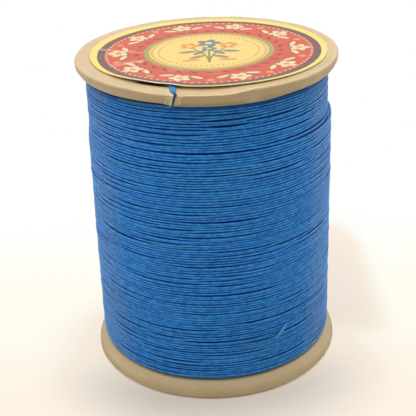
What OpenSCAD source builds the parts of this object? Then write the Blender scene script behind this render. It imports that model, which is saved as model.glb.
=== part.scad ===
// Thread reel: two moulded flanges on a paper-board core tube, a thread winding with
// its two ends, and a round paper label on each end face.
// Millimetres, +Z up along the reel's axis, origin at the centre of the face it stands on.

/* [Reel] */
// Height of the reel over its two flanges, without the labels
reel_h = 66.6; // [58:0.2:76]
// Diameter of both flanges
flange_d = 53.4; // [50:0.2:60]
// Thickness of each flange
flange_t = 3; // [2.4:0.1:3.4]
// Rounding of the flange's edge on its outer face
face_edge_r = 0.5; // [0.2:0.1:0.6]
// Rounding of the flange's edge on the side of the thread
inner_edge_r = 2.4; // [1:0.1:2.4]

/* [Catch slit] */
// Direction of the top flange's catch slit
slit_angle = -102; // [-180:1:180]
// Direction of the bottom flange's catch slit
lower_slit_angle = 64; // [-180:1:180]
// Length of the slit inward from the rim
slit_depth = 3; // [2.5:0.1:4]
// Width of the slit's flared mouth at the rim
mouth_w = 1.2; // [0.8:0.1:1.8]
// Length of the flared mouth inward from the rim
mouth_depth = 0.5; // [0.3:0.1:0.8]

/* [Hub and spigot] */
// Diameter of the spindle bore
bore_d = 8; // [6:0.5:10]
// Wall of the hub around the bore
hub_wall = 1.6; // [1.2:0.1:2.2]
// Length of the hub behind the flange
hub_len = 12; // [9:1:18]
// Length of the spigot that holds the core tube
spigot_len = 8; // [5:1:12]
// Wall of the spigot
spigot_wall = 1.4; // [1:0.1:1.8]
// Width of the slots that part the spigot into springy fingers
spigot_slot_w = 2; // [1:0.5:3]
// Number of ribs between hub and spigot
rib_count = 6; // [3:1:8]
// Thickness of each rib
rib_t = 1.2; // [0.8:0.1:1.6]

/* [Core tube] */
// Outer diameter of the core tube
core_d = 30; // [26:0.5:36]
// Wall of the core tube
core_wall = 1.5; // [1:0.1:2]

/* [Thread] */
// Diameter of the thread
thread_d = 0.56; // [0.4:0.02:0.8]
// Step from the flange's rim in to the winding
wind_inset = 1.3; // [1:0.1:2.5]
// Rounding of the winding's lower shoulder
shoulder_r = 1.7; // [0.8:0.1:3]
// How far the last layer stays back near the top
neck_drop = 0.8; // [0.4:0.05:1.2]
// Length of the part near the top that stays back
neck_h = 8.4; // [5:0.2:14]
// Diameter of the knot that holds the inner end
knot_d = 1.8; // [1.4:0.1:2.2]
// Angle of the last turn that is modelled as the tail
tail_turn = 30; // [15:3:45]

/* [Labels] */
// Diameter of both paper labels
label_d = 48; // [46:0.2:50]
// Thickness of each label
label_t = 0.2; // [0.1:0.05:0.3]
// Shift of the top label to the right
label_shift_x = 0.5; // [-1:0.1:1]
// Shift of the top label to the back
label_shift_y = -0.6; // [-1:0.1:1]
// How far the tail's end is tucked in under the top label
tail_tuck = 2.8; // [2:0.1:4]
// Direction of the lifted edge
flap_angle = -112; // [-120:1:-104]
// Diameter of the hole punched in the bottom label
label_hole_d = 14; // [11:0.5:20]

/* [Hidden] */
// Run of the slope from the label's flat part up to its lifted edge
flap_run = 2.5;
// Clearance of the lifted edge over and around the tail
flap_fit = 0.08;
// Radial clearance between the spigot and the core tube
spigot_fit = 0.05;
// Radial clearance between the core tube and the winding
core_fit = 0.05;
// Clearance on each side of the thread in a slit or hole
thread_fit = 0.03;
// Gap between the tail and the faces it lies on
lay_gap = 0.03;
// Clearance around the inner end in the wall of the core tube
start_fit = 0.2;
// Number of slots in the spigot
spigot_slots = 4;
// Overlap used where one body is cut from or joined to another
over = 0.5;

flange_r = flange_d / 2;
// Inner rounding as cut, which leaves a strip of the rim's wall standing
rim_wall = 0.1;
rim_fillet_r = min(inner_edge_r, flange_t - face_edge_r - rim_wall);
bore_r = bore_d / 2;
hub_r = bore_r + hub_wall;
core_r = core_d / 2;
core_in_r = core_r - core_wall;
spigot_r = core_in_r - spigot_fit;
spigot_in_r = spigot_r - spigot_wall;
thread_r = thread_d / 2;
slit_w = thread_d + 2 * thread_fit;
label_r = label_d / 2;

// Heights of the reel's faces
low_face_z = label_t;
top_face_z = low_face_z + reel_h;
wind_z0 = low_face_z + flange_t;
wind_z1 = top_face_z - flange_t;

// Winding, from the core out to the last layer
wind_in_r = core_r + core_fit;
wind_r = flange_r - wind_inset;
neck_r = wind_r - neck_drop;
neck_z = wind_z1 - neck_h;
shoulder_z = wind_z0 + shoulder_r;
// Part of the neck's height over which the layer steps back
neck_step = 1.2;

// Inner end of the thread, well above the hub
start_z = wind_z0 + hub_len + 4;
start_angle = 140;
knot_r = knot_d / 2;
knot_pos = core_in_r - knot_r - lay_gap;

// Tail: depth below and height above the flange, and the bend into the slit
bend_r = 0.6;
tail_slit_r = flange_r - 1.1;
tail_lay_r = neck_r + thread_r + lay_gap;
tail_under_z = wind_z1 - thread_r - lay_gap;
tail_dip_z = wind_z1 - bend_r - lay_gap;
tail_top_z = top_face_z + thread_r + lay_gap;
tail_bent_r = tail_slit_r - bend_r;
tail_end_r = label_r - tail_tuck;

// A point at an angle from the slit, at a radius and a height
function at_slit(a, r, z) = [
    r * cos(slit_angle + a),
    r * sin(slit_angle + a),
    z
];
// The same, with the sideways place in millimetres, for the bend into the slit
function by_slit(s, r, z) = [
    r * cos(slit_angle) - s * sin(slit_angle),
    r * sin(slit_angle) + s * cos(slit_angle),
    z
];

// The lay of the tail: along the winding, up through the slit and in under the label
tail_route = concat(
    [for (a = [-tail_turn : 3 : -9]) at_slit(a, tail_lay_r, tail_under_z)],
    [
        at_slit(-6, tail_lay_r + 0.2, tail_under_z - 0.1),
        by_slit(-1.3, tail_slit_r - 0.2, tail_dip_z)
    ],
    [
        for (b = [0 : 30 : 90])
            by_slit(-bend_r + bend_r * sin(b), tail_slit_r, tail_dip_z + bend_r * (1 - cos(b)))
    ],
    [by_slit(0, tail_slit_r, top_face_z - flange_t / 2)],
    [
        for (b = [0 : 30 : 90])
            by_slit(0, tail_slit_r - bend_r * (1 - cos(b)), tail_top_z - bend_r * (1 - sin(b)))
    ],
    [
        for (share = [0.25 : 0.25 : 1])
            at_slit(-9 * share * share, tail_bent_r + share * (tail_end_r - tail_bent_r), tail_top_z)
    ]
);
tail_end = tail_route[len(tail_route) - 1];

// The top label's edge is lifted over the tail, and slopes down inward of the tail's end
flap_lift = thread_d + 2 * lay_gap + flap_fit;
tail_reach = (tail_end.x - label_shift_x) * cos(flap_angle) + (tail_end.y - label_shift_y) * sin(flap_angle);
rise_end = tail_reach - thread_r - flap_fit;
rise_start = rise_end - flap_run;

// Sweep of a round section along a route, as one closed body
tube_sides = 8;
function unit(v) = v / norm(v);
function lead(p, i) = unit(p[min(i + 1, len(p) - 1)] - p[max(i - 1, 0)]);
function side(t, ref) = unit(cross(t, ref));
function ring(c, t, r, ref) = let (u = side(t, ref), w = cross(t, u)) [
    for (k = [0 : tube_sides - 1])
        c + r * (cos(360 * k / tube_sides) * u + sin(360 * k / tube_sides) * w)
];

$fn = 128;

// Round tube along a route; ref is a direction that the route never takes
module swept_tube(route, r, ref) {
    n = len(route);
    last = (n - 1) * tube_sides;
    points = [for (i = [0 : n - 1]) each ring(route[i], lead(route, i), r, ref)];
    walls = [
        for (i = [0 : n - 2], k = [0 : tube_sides - 1])
            let (a = i * tube_sides, m = (k + 1) % tube_sides)
                [a + k, a + m, a + tube_sides + m, a + tube_sides + k]
    ];
    first_cap = [[for (k = [tube_sides - 1 : -1 : 0]) k]];
    last_cap = [[for (k = [0 : tube_sides - 1]) last + k]];
    polyhedron(points, concat(walls, first_cap, last_cap), convexity = 6);
}

// Half section of the flange disc with its two rounded edges, outer face at zero
module disc_section() {
    square([flange_r - rim_fillet_r, flange_t]);
    translate([0, face_edge_r])
        square([flange_r, flange_t - face_edge_r - rim_fillet_r]);
    square([flange_r - face_edge_r, flange_t / 2]);
    translate([flange_r - face_edge_r, face_edge_r])
        circle(r = face_edge_r);
    intersection() {
        translate([flange_r - rim_fillet_r, flange_t - rim_fillet_r])
            circle(r = rim_fillet_r);
        translate([0, flange_t - rim_fillet_r])
            square([flange_r, rim_fillet_r]);
    }
}

// Slit from the rim inward along +X, with a round end and a flared mouth
module catch_slit() {
    slit_end = flange_r - slit_depth + slit_w / 2;
    translate([0, 0, -over])
        linear_extrude(flange_t + 2 * over) {
            translate([slit_end, -slit_w / 2])
                square([slit_depth + over, slit_w]);
            polygon([
                [flange_r - mouth_depth, -slit_w / 2],
                [flange_r + over, -mouth_w / 2],
                [flange_r + over, mouth_w / 2],
                [flange_r - mouth_depth, slit_w / 2]
            ]);
        }
    translate([slit_end, 0, -over])
        cylinder(r = slit_w / 2, h = flange_t + 2 * over);
}

// Spigot ring parted by slots, standing on the flange's inner face
module spigot() {
    difference() {
        cylinder(r = spigot_r, h = flange_t + spigot_len);
        translate([0, 0, -over])
            cylinder(r = spigot_in_r, h = flange_t + spigot_len + 2 * over);
        for (k = [0 : spigot_slots - 1])
            rotate([0, 0, 45 + k * 360 / spigot_slots])
                translate([spigot_in_r - over, -spigot_slot_w / 2, flange_t])
                    cube([spigot_wall + 2 * over, spigot_slot_w, spigot_len + over]);
    }
}

// Ribs from the hub out to the spigot
module ribs() {
    for (k = [0 : rib_count - 1])
        rotate([0, 0, k * 360 / rib_count])
            translate([bore_r + hub_wall / 2, -rib_t / 2, 0])
                cube([spigot_in_r + spigot_wall / 2 - bore_r - hub_wall / 2, rib_t, flange_t + spigot_len / 2]);
}

// One end of the reel, outer face at zero and spigot upward, slit along +X
module flange_moulding() {
    difference() {
        union() {
            rotate_extrude()
                disc_section();
            spigot();
            ribs();
            cylinder(r = hub_r, h = flange_t + hub_len);
        }
        translate([0, 0, -over])
            cylinder(r = bore_r, h = flange_t + hub_len + 2 * over);
        catch_slit();
    }
}

// Board tube between the flanges, with a hole for the inner end of the thread
module core_tube() {
    color([0.62, 0.5, 0.36])
        difference() {
            translate([0, 0, wind_z0])
                cylinder(r = core_r, h = wind_z1 - wind_z0);
            translate([0, 0, wind_z0 - over])
                cylinder(r = core_in_r, h = wind_z1 - wind_z0 + 2 * over);
            rotate([0, 0, start_angle])
                translate([core_in_r - over, 0, start_z])
                    rotate([0, 90, 0])
                        cylinder(r = thread_r + start_fit, h = core_wall + 2 * over, $fn = 32);
        }
}

module bottom_flange() {
    color([0.78, 0.66, 0.5])
        translate([0, 0, low_face_z])
            rotate([0, 0, lower_slit_angle])
                flange_moulding();
}

module top_flange() {
    color([0.86, 0.76, 0.62])
        translate([0, 0, top_face_z])
            rotate([0, 0, slit_angle])
                rotate([180, 0, 0])
                    flange_moulding();
}

// Body of the wound thread, with a rounded lower shoulder and a narrower top
module thread_winding() {
    color([0.14, 0.34, 0.56])
        rotate_extrude() {
            polygon([
                [wind_in_r, wind_z0],
                [wind_r - shoulder_r, wind_z0],
                [wind_r - shoulder_r, shoulder_z],
                [wind_r, shoulder_z],
                [wind_r, neck_z - neck_step],
                [neck_r, neck_z],
                [neck_r, wind_z1],
                [wind_in_r, wind_z1]
            ]);
            translate([wind_r - shoulder_r, shoulder_z])
                circle(r = shoulder_r);
        }
}

// Inner end: a short length through the tube's wall and the knot inside it
module thread_start() {
    color([0.12, 0.3, 0.5])
        rotate([0, 0, start_angle])
            translate([knot_pos, 0, start_z]) {
                sphere(r = knot_r, $fn = 32);
                rotate([0, 90, 0])
                    cylinder(r = thread_r, h = core_r - knot_pos, $fn = 24);
            }
}

// Outer end: the last turn's lead, up through the slit and under the label
module thread_tail() {
    color([0.2, 0.44, 0.68])
        swept_tube(tail_route, thread_r, by_slit(1, -1, 0));
}

// Paper disc on the top flange, its edge raised where the tail runs under it
module top_label() {
    color([0.95, 0.88, 0.66])
        translate([label_shift_x, label_shift_y, top_face_z])
            intersection() {
                cylinder(r = label_r, h = flap_lift + label_t + over);
                rotate([0, 0, flap_angle])
                    rotate([90, 0, 0])
                        translate([0, 0, -label_d])
                            linear_extrude(2 * label_d)
                                polygon([
                                    [-label_d, 0],
                                    [rise_start, 0],
                                    [rise_end, flap_lift],
                                    [label_d, flap_lift],
                                    [label_d, flap_lift + label_t],
                                    [rise_end, flap_lift + label_t],
                                    [rise_start, label_t],
                                    [-label_d, label_t]
                                ]);
            }
}

// Paper ring on the bottom flange, open around the spindle bore
module bottom_label() {
    color([0.93, 0.88, 0.74])
        difference() {
            cylinder(r = label_r, h = label_t);
            translate([0, 0, -over])
                cylinder(d = label_hole_d, h = label_t + 2 * over);
        }
}

core_tube();
bottom_flange();
top_flange();
thread_winding();
thread_start();
thread_tail();
top_label();
bottom_label();
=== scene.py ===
"""Looks of the waxed thread reel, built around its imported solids.

The reel stands upright on its lower end disc: two tan mouldings on a board core, a body of blue
waxed linen wound turn by turn, the thread's end caught in a slit of the upper disc, and a printed
paper disc glued over each end. Metres, +Z up along the reel's axis, -Y towards the viewer.
"""

import logging
import math
from dataclasses import dataclass, field
from enum import Enum
from typing import Any, NamedTuple, Union

import bmesh
import bpy
from mathutils import Matrix, Vector, noise


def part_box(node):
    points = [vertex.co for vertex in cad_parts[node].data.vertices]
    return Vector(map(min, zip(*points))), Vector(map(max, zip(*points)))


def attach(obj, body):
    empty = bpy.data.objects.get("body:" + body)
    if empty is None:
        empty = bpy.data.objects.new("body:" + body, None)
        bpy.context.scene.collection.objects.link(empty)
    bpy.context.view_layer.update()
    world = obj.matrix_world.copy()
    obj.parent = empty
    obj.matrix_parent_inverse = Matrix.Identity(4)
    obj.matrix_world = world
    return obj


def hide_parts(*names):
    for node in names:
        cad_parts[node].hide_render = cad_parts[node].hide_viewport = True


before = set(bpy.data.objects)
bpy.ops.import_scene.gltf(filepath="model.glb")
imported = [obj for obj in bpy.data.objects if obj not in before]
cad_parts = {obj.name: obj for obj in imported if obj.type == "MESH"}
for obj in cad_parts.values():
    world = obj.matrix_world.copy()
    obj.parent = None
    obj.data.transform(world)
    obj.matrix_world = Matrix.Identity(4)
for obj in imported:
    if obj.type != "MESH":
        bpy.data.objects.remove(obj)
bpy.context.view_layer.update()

log = logging.getLogger("reel")

MM = 0.001
TURN = 2 * math.pi
BODY = "root"

Number = Union[int, float]
Operand = Union["Wire", int, float]
Colour = tuple[float, float, float]
Pair = tuple[float, float]


# ---------------------------------------------------------------- node graphs


class Wire:
    """One output socket of a node graph, with the arithmetic that adds Math nodes to the graph."""

    def __init__(self, graph: "Graph", socket: bpy.types.NodeSocket) -> None:
        """Keeps the graph and the socket.

        Args:
            graph: the graph that new nodes go into.
            socket: the output socket this wire starts from.
        """
        self.graph = graph
        self.socket = socket

    def out(self, name: Union[str, int]) -> "Wire":
        """Another output of the same node."""
        return Wire(self.graph, self.socket.node.outputs[name])

    def __add__(self, other: Operand) -> "Wire":
        """Sum."""
        return self.graph.math("ADD", self, other)

    __radd__ = __add__

    def __mul__(self, other: Operand) -> "Wire":
        """Product."""
        return self.graph.math("MULTIPLY", self, other)

    __rmul__ = __mul__

    def __sub__(self, other: Operand) -> "Wire":
        """Difference."""
        return self.graph.math("SUBTRACT", self, other)

    def __rsub__(self, other: Operand) -> "Wire":
        """Reflected difference."""
        return self.graph.math("SUBTRACT", other, self)

    def __truediv__(self, other: Operand) -> "Wire":
        """Quotient."""
        return self.graph.math("DIVIDE", self, other)

    def __rtruediv__(self, other: Operand) -> "Wire":
        """Reflected quotient."""
        return self.graph.math("DIVIDE", other, self)

    def __abs__(self) -> "Wire":
        """Size without the sign."""
        return self.graph.math("ABSOLUTE", self)


class Graph:
    """A node tree with one way to add a node, for shaders and for geometry alike."""

    def __init__(self, tree: bpy.types.NodeTree) -> None:
        """Wraps a tree.

        Args:
            tree: the node tree that is built.
        """
        self.tree = tree

    def feed(self, socket: bpy.types.NodeSocket, value: Any) -> None:
        """Links a wire to an input socket, or writes a constant on it.

        Args:
            socket: the input socket.
            value: a wire or a plain value.
        """
        if isinstance(value, Wire):
            self.tree.links.new(value.socket, socket)
        else:
            socket.default_value = value

    def node(
        self,
        kind: str,
        settings: dict[str, Any] | None = None,
        inputs: dict[Union[str, int], Any] | None = None,
        output: Union[str, int] = 0,
    ) -> Wire:
        """Adds one node.

        Args:
            kind: the node's type name.
            settings: its properties, set first.
            inputs: values or wires of its sockets, by name or number.
            output: the output that the returned wire starts from.

        Returns:
            The wire from that output.
        """
        made = self.tree.nodes.new(kind)
        for key, value in (settings or {}).items():
            setattr(made, key, value)
        for key, value in (inputs or {}).items():
            self.feed(made.inputs[key], value)
        return Wire(self, made.outputs[output])

    def end(self, kind: str, **wires: Wire) -> None:
        """Adds the tree's output node.

        Args:
            kind: the node's type name.
            **wires: what goes into its sockets.
        """
        made = self.tree.nodes.new(kind)
        for key, wire in wires.items():
            self.feed(made.inputs[key], wire)

    def math(self, operation: str, *values: Operand) -> Wire:
        """A Math node on up to three values."""
        return self.node("ShaderNodeMath", {"operation": operation}, dict(enumerate(values)))

    def length(self, u: Wire, v: Wire) -> Wire:
        """Distance of a place from the origin of u and v."""
        return self.math("SQRT", u * u + v * v)

    def clamp(self, value: Operand, low: Operand = 0.0, high: Operand = 1.0) -> Wire:
        """A value held between two limits."""
        return self.math("MINIMUM", self.math("MAXIMUM", value, low), high)

    def smooth(self, value: Operand, start: Operand, end: Operand) -> Wire:
        """A smooth step from 0 at start to 1 at end; start may be the larger.

        Args:
            value: what is compared.
            start: where the step begins.
            end: where the step is complete.

        Returns:
            The share, from 0 to 1.
        """
        share = self.clamp((value - start) / (end - start))
        return share * share * (3.0 - 2.0 * share)

    def noise1(self, w: Wire, scale: float, detail: float = 2.0, rough: float = 0.5) -> Wire:
        """Noise along one number, about 0.5.

        Args:
            w: the number.
            scale: features in each unit of it.
            detail: layers of finer noise.
            rough: strength of the finer layers.

        Returns:
            The noise value.
        """
        return self.node(
            "ShaderNodeTexNoise",
            {"noise_dimensions": "1D"},
            {"W": w, "Scale": scale, "Detail": detail, "Roughness": rough},
        )


class FinishGraph(Graph):
    """The shader graph of one finish, ending in a Principled surface."""

    def __init__(self, name: str) -> None:
        """Makes an empty material.

        Args:
            name: the material's name.
        """
        self.material = bpy.data.materials.new(name)
        self.material.use_nodes = True
        super().__init__(self.material.node_tree)
        self.tree.nodes.clear()
        self._place: Wire | None = None

    @property
    def place(self) -> Wire:
        """The surface point in Object coordinates, in metres."""
        if self._place is None:
            self._place = self.node("ShaderNodeTexCoord", output="Object")
        return self._place

    def parts(self, vector: Wire) -> tuple[Wire, Wire, Wire]:
        """The three numbers of a vector."""
        split = self.node("ShaderNodeSeparateXYZ", inputs={0: vector})
        return split, split.out(1), split.out(2)

    def vector(self, x: Operand, y: Operand, z: Operand) -> Wire:
        """A vector from three numbers."""
        return self.node("ShaderNodeCombineXYZ", inputs={0: x, 1: y, 2: z})

    def attribute(self, name: str) -> Wire:
        """A number stored on the mesh under a name."""
        return self.node("ShaderNodeAttribute", {"attribute_name": name}, output="Fac")

    def noise(
        self,
        scale: float,
        detail: float = 3.0,
        rough: float = 0.5,
        stretch: tuple[float, float, float] = (1.0, 1.0, 1.0),
        shift: float = 0.0,
    ) -> Wire:
        """Noise in Object coordinates, about 0.5.

        Args:
            scale: features per metre.
            detail: layers of finer noise.
            rough: strength of the finer layers.
            stretch: scale of each direction.
            shift: moves the pattern, so that two noises differ.

        Returns:
            The noise value.
        """
        mapped = self.node(
            "ShaderNodeMapping",
            inputs={"Vector": self.place, "Scale": stretch, "Location": (shift, shift, shift)},
        )
        return self.node(
            "ShaderNodeTexNoise",
            inputs={"Vector": mapped, "Scale": scale, "Detail": detail, "Roughness": rough},
        )

    def blend(self, share: Operand, first: Any, second: Any) -> Wire:
        """A colour between two colours.

        Args:
            share: 0 for the first, 1 for the second.
            first: a colour or a wire.
            second: a colour or a wire.

        Returns:
            The mixed colour.
        """
        made = self.tree.nodes.new("ShaderNodeMix")
        made.data_type = "RGBA"
        for place, value in ((0, share), (6, first), (7, second)):
            if not isinstance(value, Wire) and place:
                value = (*value, 1.0)
            self.feed(made.inputs[place], value)
        return Wire(self, made.outputs[2])

    def shade(self, colour: Wire, amount: Operand) -> Wire:
        """A colour made darker or lighter.

        Args:
            colour: the colour.
            amount: the factor on each channel.

        Returns:
            The colour times the factor.
        """
        grey = self.node("ShaderNodeCombineColor", inputs={0: amount, 1: amount, 2: amount})
        return self.node(
            "ShaderNodeMix",
            {"data_type": "RGBA", "blend_type": "MULTIPLY"},
            {0: 1.0, 6: colour, 7: grey},
            output=2,
        )

    def bump(
        self, height: Wire, strength: float, distance: float, under: Wire | None = None
    ) -> Wire:
        """A normal raised by a height.

        Args:
            height: the height pattern.
            strength: how much of it shows.
            distance: the height of 1, in metres.
            under: a coarser normal that this one rides on.

        Returns:
            The normal.
        """
        inputs: dict[Union[str, int], Any] = {
            "Height": height,
            "Strength": strength,
            "Distance": distance,
        }
        if under is not None:
            inputs["Normal"] = under
        return self.node("ShaderNodeBump", inputs=inputs)

    def finish(self, **sockets: Any) -> bpy.types.Material:
        """Ends the graph in a Principled surface.

        Args:
            **sockets: the surface's inputs, with underscores for the spaces in their names.

        Returns:
            The finished material.
        """
        named = {key.replace("_", " "): value for key, value in sockets.items()}
        surface = self.node("ShaderNodeBsdfPrincipled", inputs=named)
        self.end("ShaderNodeOutputMaterial", Surface=surface)
        return self.material


def srgb(red: Number, green: Number, blue: Number) -> Colour:
    """A colour as the linear numbers that shaders use.

    Args:
        red: red as it is displayed, from 0 to 255.
        green: green, likewise.
        blue: blue, likewise.

    Returns:
        The linear colour.
    """

    def linear(value: Number) -> float:
        """One channel without its display curve."""
        share = value / 255
        return share / 12.92 if share <= 0.04045 else ((share + 0.055) / 1.055) ** 2.4

    return linear(red), linear(green), linear(blue)


# ---------------------------------------------------------------- sizes


@dataclass(frozen=True)
class ReelSizes:
    """The reel's driving sizes in metres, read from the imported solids."""

    flange_r: float
    low_face_z: float
    top_face_z: float
    wind_z0: float
    wind_z1: float
    wind_r: float
    core_r: float
    core_in_r: float
    label_r: float
    label_t: float

    @classmethod
    def from_frame(cls) -> "ReelSizes":
        """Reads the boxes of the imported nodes.

        Returns:
            The sizes.
        """
        top_low, top_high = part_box("top_flange")
        low_low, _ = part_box("bottom_flange")
        wind_low, wind_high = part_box("thread_winding")
        core_low, core_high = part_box("core_tube")
        label_low, label_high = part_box("bottom_label")
        core_r = (core_high.x - core_low.x) / 2
        return cls(
            flange_r=(top_high.x - top_low.x) / 2,
            low_face_z=low_low.z,
            top_face_z=top_high.z,
            wind_z0=wind_low.z,
            wind_z1=wind_high.z,
            wind_r=(wind_high.x - wind_low.x) / 2,
            core_r=core_r,
            core_in_r=core_r - 1.5 * MM,
            label_r=(label_high.x - label_low.x) / 2,
            label_t=label_high.z - label_low.z,
        )

    @property
    def flange_t(self) -> float:
        """Thickness of each end disc."""
        return self.wind_z0 - self.low_face_z


THREAD_R = 0.28 * MM
LAY_R = 25.2 * MM
SLIT_ANGLE = math.radians(-102)
SLIT_ASIDE, SLIT_LEAN = -0.32, 0.28
LOWER_SLIT_ANGLE = math.radians(64)
FLAP_ANGLE = math.radians(-112)
LABEL_CENTRE = Vector((0.5 * MM, -0.35 * MM, 0.0))
PRINT_CENTRE = Vector((0.6 * MM, -1.14 * MM, 0.0))


# ---------------------------------------------------------------- meshes


def linked(name: str, data: bpy.types.ID) -> bpy.types.Object:
    """Puts an object of some data into the scene.

    Args:
        name: the object's name.
        data: its mesh, lamp or camera.

    Returns:
        The object.
    """
    made = bpy.data.objects.new(name, data)
    bpy.context.scene.collection.objects.link(made)
    return made


@dataclass
class MeshDraft:
    """Points and faces of a piece while it is being drawn up."""

    points: list[Vector] = field(default_factory=list)
    faces: list[tuple[int, ...]] = field(default_factory=list)
    marks: dict[str, list[float]] = field(default_factory=dict)

    def point(self, place: Vector, **marks: float) -> int:
        """Adds a point and returns its number.

        Args:
            place: where it is.
            **marks: numbers stored on it, by name.

        Returns:
            The point's number.
        """
        self.points.append(place)
        for name in dict.fromkeys([*self.marks, *marks]):
            row = self.marks.setdefault(name, [])
            row.extend([0.0] * (len(self.points) - 1 - len(row)))
            row.append(marks.get(name, 0.0))
        return len(self.points) - 1

    def face(self, *corners: int) -> None:
        """Adds a face."""
        self.faces.append(corners)

    def skin(self, rows: list[list[int]], closed: bool = False) -> None:
        """Adds the faces between neighbouring rows of points, each row a ring.

        Args:
            rows: the rows' point numbers, equally many in each.
            closed: whether the last row joins the first.
        """
        after = [*rows[1:], rows[0]] if closed else rows[1:]
        for first, second in zip(rows, after):
            for k, corner in enumerate(first):
                beyond = (k + 1) % len(first)
                self.face(corner, first[beyond], second[beyond], second[k])

    def tube(
        self,
        rings: list[list[Vector]],
        looks: list[dict[str, float]] | None = None,
        closed: bool = False,
    ) -> None:
        """Adds a tube from rings of points, capped at its ends or closed in a circle.

        Args:
            rings: rings with equally many points each.
            looks: the numbers stored on each ring's points, by name.
            closed: whether the last ring joins the first.
        """
        marks = looks or [{}] * len(rings)
        rows = [[self.point(p, **mark) for p in ring] for ring, mark in zip(rings, marks)]
        self.skin(rows, closed)
        if not closed:
            self.face(*reversed(rows[0]))
            self.face(*rows[-1])

    def piece(
        self, name: str, material: bpy.types.Material, crease: float = 40.0
    ) -> bpy.types.Object:
        """Makes the mesh object.

        Args:
            name: the piece's name.
            material: its finish.
            crease: angle in degrees above which an edge stays sharp.

        Returns:
            The object, at the origin.
        """
        mesh = bpy.data.meshes.new(name)
        mesh.from_pydata([tuple(p) for p in self.points], [], self.faces)
        for mark, row in self.marks.items():
            row.extend([0.0] * (len(self.points) - len(row)))
            stored = mesh.attributes.new(mark, "FLOAT", "POINT")
            stored.data.foreach_set("value", row)
        made = bmesh.new()
        made.from_mesh(mesh)
        bmesh.ops.recalc_face_normals(made, faces=made.faces)
        made.to_mesh(mesh)
        made.free()
        mesh.shade_smooth()
        mesh.set_sharp_from_angle(angle=math.radians(crease))
        mesh.materials.append(material)
        return linked(name, mesh)


def settle(piece: bpy.types.Object, slot: str, *nodes: str) -> None:
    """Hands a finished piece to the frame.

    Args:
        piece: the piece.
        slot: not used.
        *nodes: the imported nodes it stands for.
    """
    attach(piece, BODY)
    if nodes:
        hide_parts(*nodes)
    piece.data.update()
    log.info("%s: %d faces", piece.name, len(piece.data.polygons))


def step(value: float, start: float, end: float) -> float:
    """A smooth step from 0 at start to 1 at end; start may be the larger."""
    share = min(max((value - start) / (end - start), 0.0), 1.0)
    return share * share * (3 - 2 * share)


def hump(value: float, width: float) -> float:
    """A bell of height 1 about zero, width being where it has sunk to a third."""
    return math.exp(-((value / width) ** 2))


def quarter(steps: int) -> list[float]:
    """Angles over a quarter turn, without the first."""
    return [math.pi / 2 * k / steps for k in range(1, steps + 1)]


def rand(x: float, y: float = 0.0, z: float = 0.0) -> float:
    """Smooth noise from -1 to 1 at a place."""
    return noise.noise(Vector((x, y, z)))


def polar(radius: float, angle: float, height: float) -> Vector:
    """A point from its radius, angle and height."""
    return Vector((radius * math.cos(angle), radius * math.sin(angle), height))


# ---------------------------------------------------------------- finishes


@dataclass(frozen=True)
class TanMoulding:
    """Tan moulded plastic with a soft shine, paler from stress and wear, with painted highlights and
    shade.
    """

    colour: Colour = srgb(217, 187, 141)
    pale: Colour = srgb(246, 222, 180)
    # tint of flow marks and specks, and of painted shade
    grime_and_shade: Colour = srgb(172, 162, 122)
    # painted shade under the paper's lifted edge
    gap_shade_colour: Colour = srgb(40, 26, 16)

    def material(self) -> bpy.types.Material:
        """Builds the finish.

        Returns:
            The material.
        """
        g = FinishGraph("tan_moulding")
        flow = g.noise(120.0, 4.0, 0.55)
        speck = g.noise(900.0, 2.0, 0.6, shift=3.0)
        worn = g.attribute("worn")
        painted_shade = g.attribute("painted_shade")
        glue = g.attribute("glue")
        scuff = g.noise(260.0, 3.0, 0.6, stretch=(1.0, 1.0, 3.0), shift=7.0)
        colour = g.blend(g.smooth(flow, 0.35, 0.7) * 0.35, self.colour, self.grime_and_shade)
        colour = g.blend(g.smooth(speck, 0.62, 0.74) * 0.3, colour, self.grime_and_shade)
        # painted shade: the upper disc's lower rounding, its notch and the lower disc by the winding
        colour = g.blend(g.clamp(painted_shade * (0.8 + 0.2 * g.smooth(scuff, 0.4, 0.6))), colour, self.grime_and_shade)
        # wear, and painted highlights along the discs' edges, the slit's wall and the tab; painted
        # light on the lower disc
        colour = g.blend(g.clamp(worn * (0.7 + 0.6 * scuff)), colour, self.pale)
        # painted shade under the paper's lifted edge
        colour = g.blend(glue, colour, self.gap_shade_colour)
        normal = g.bump(g.noise(60.0, 2.0, 0.4, shift=11.0), 0.35, 0.3 * MM)
        normal = g.bump(g.noise(1400.0, 3.0, 0.6), 0.12, 0.03 * MM, normal)
        return g.finish(
            Base_Color=colour,
            Roughness=g.clamp(0.4 + (flow - 0.5) * 0.3 + worn * 0.15, 0.25, 0.8),
            Normal=normal,
            IOR=1.47,
        )


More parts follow.
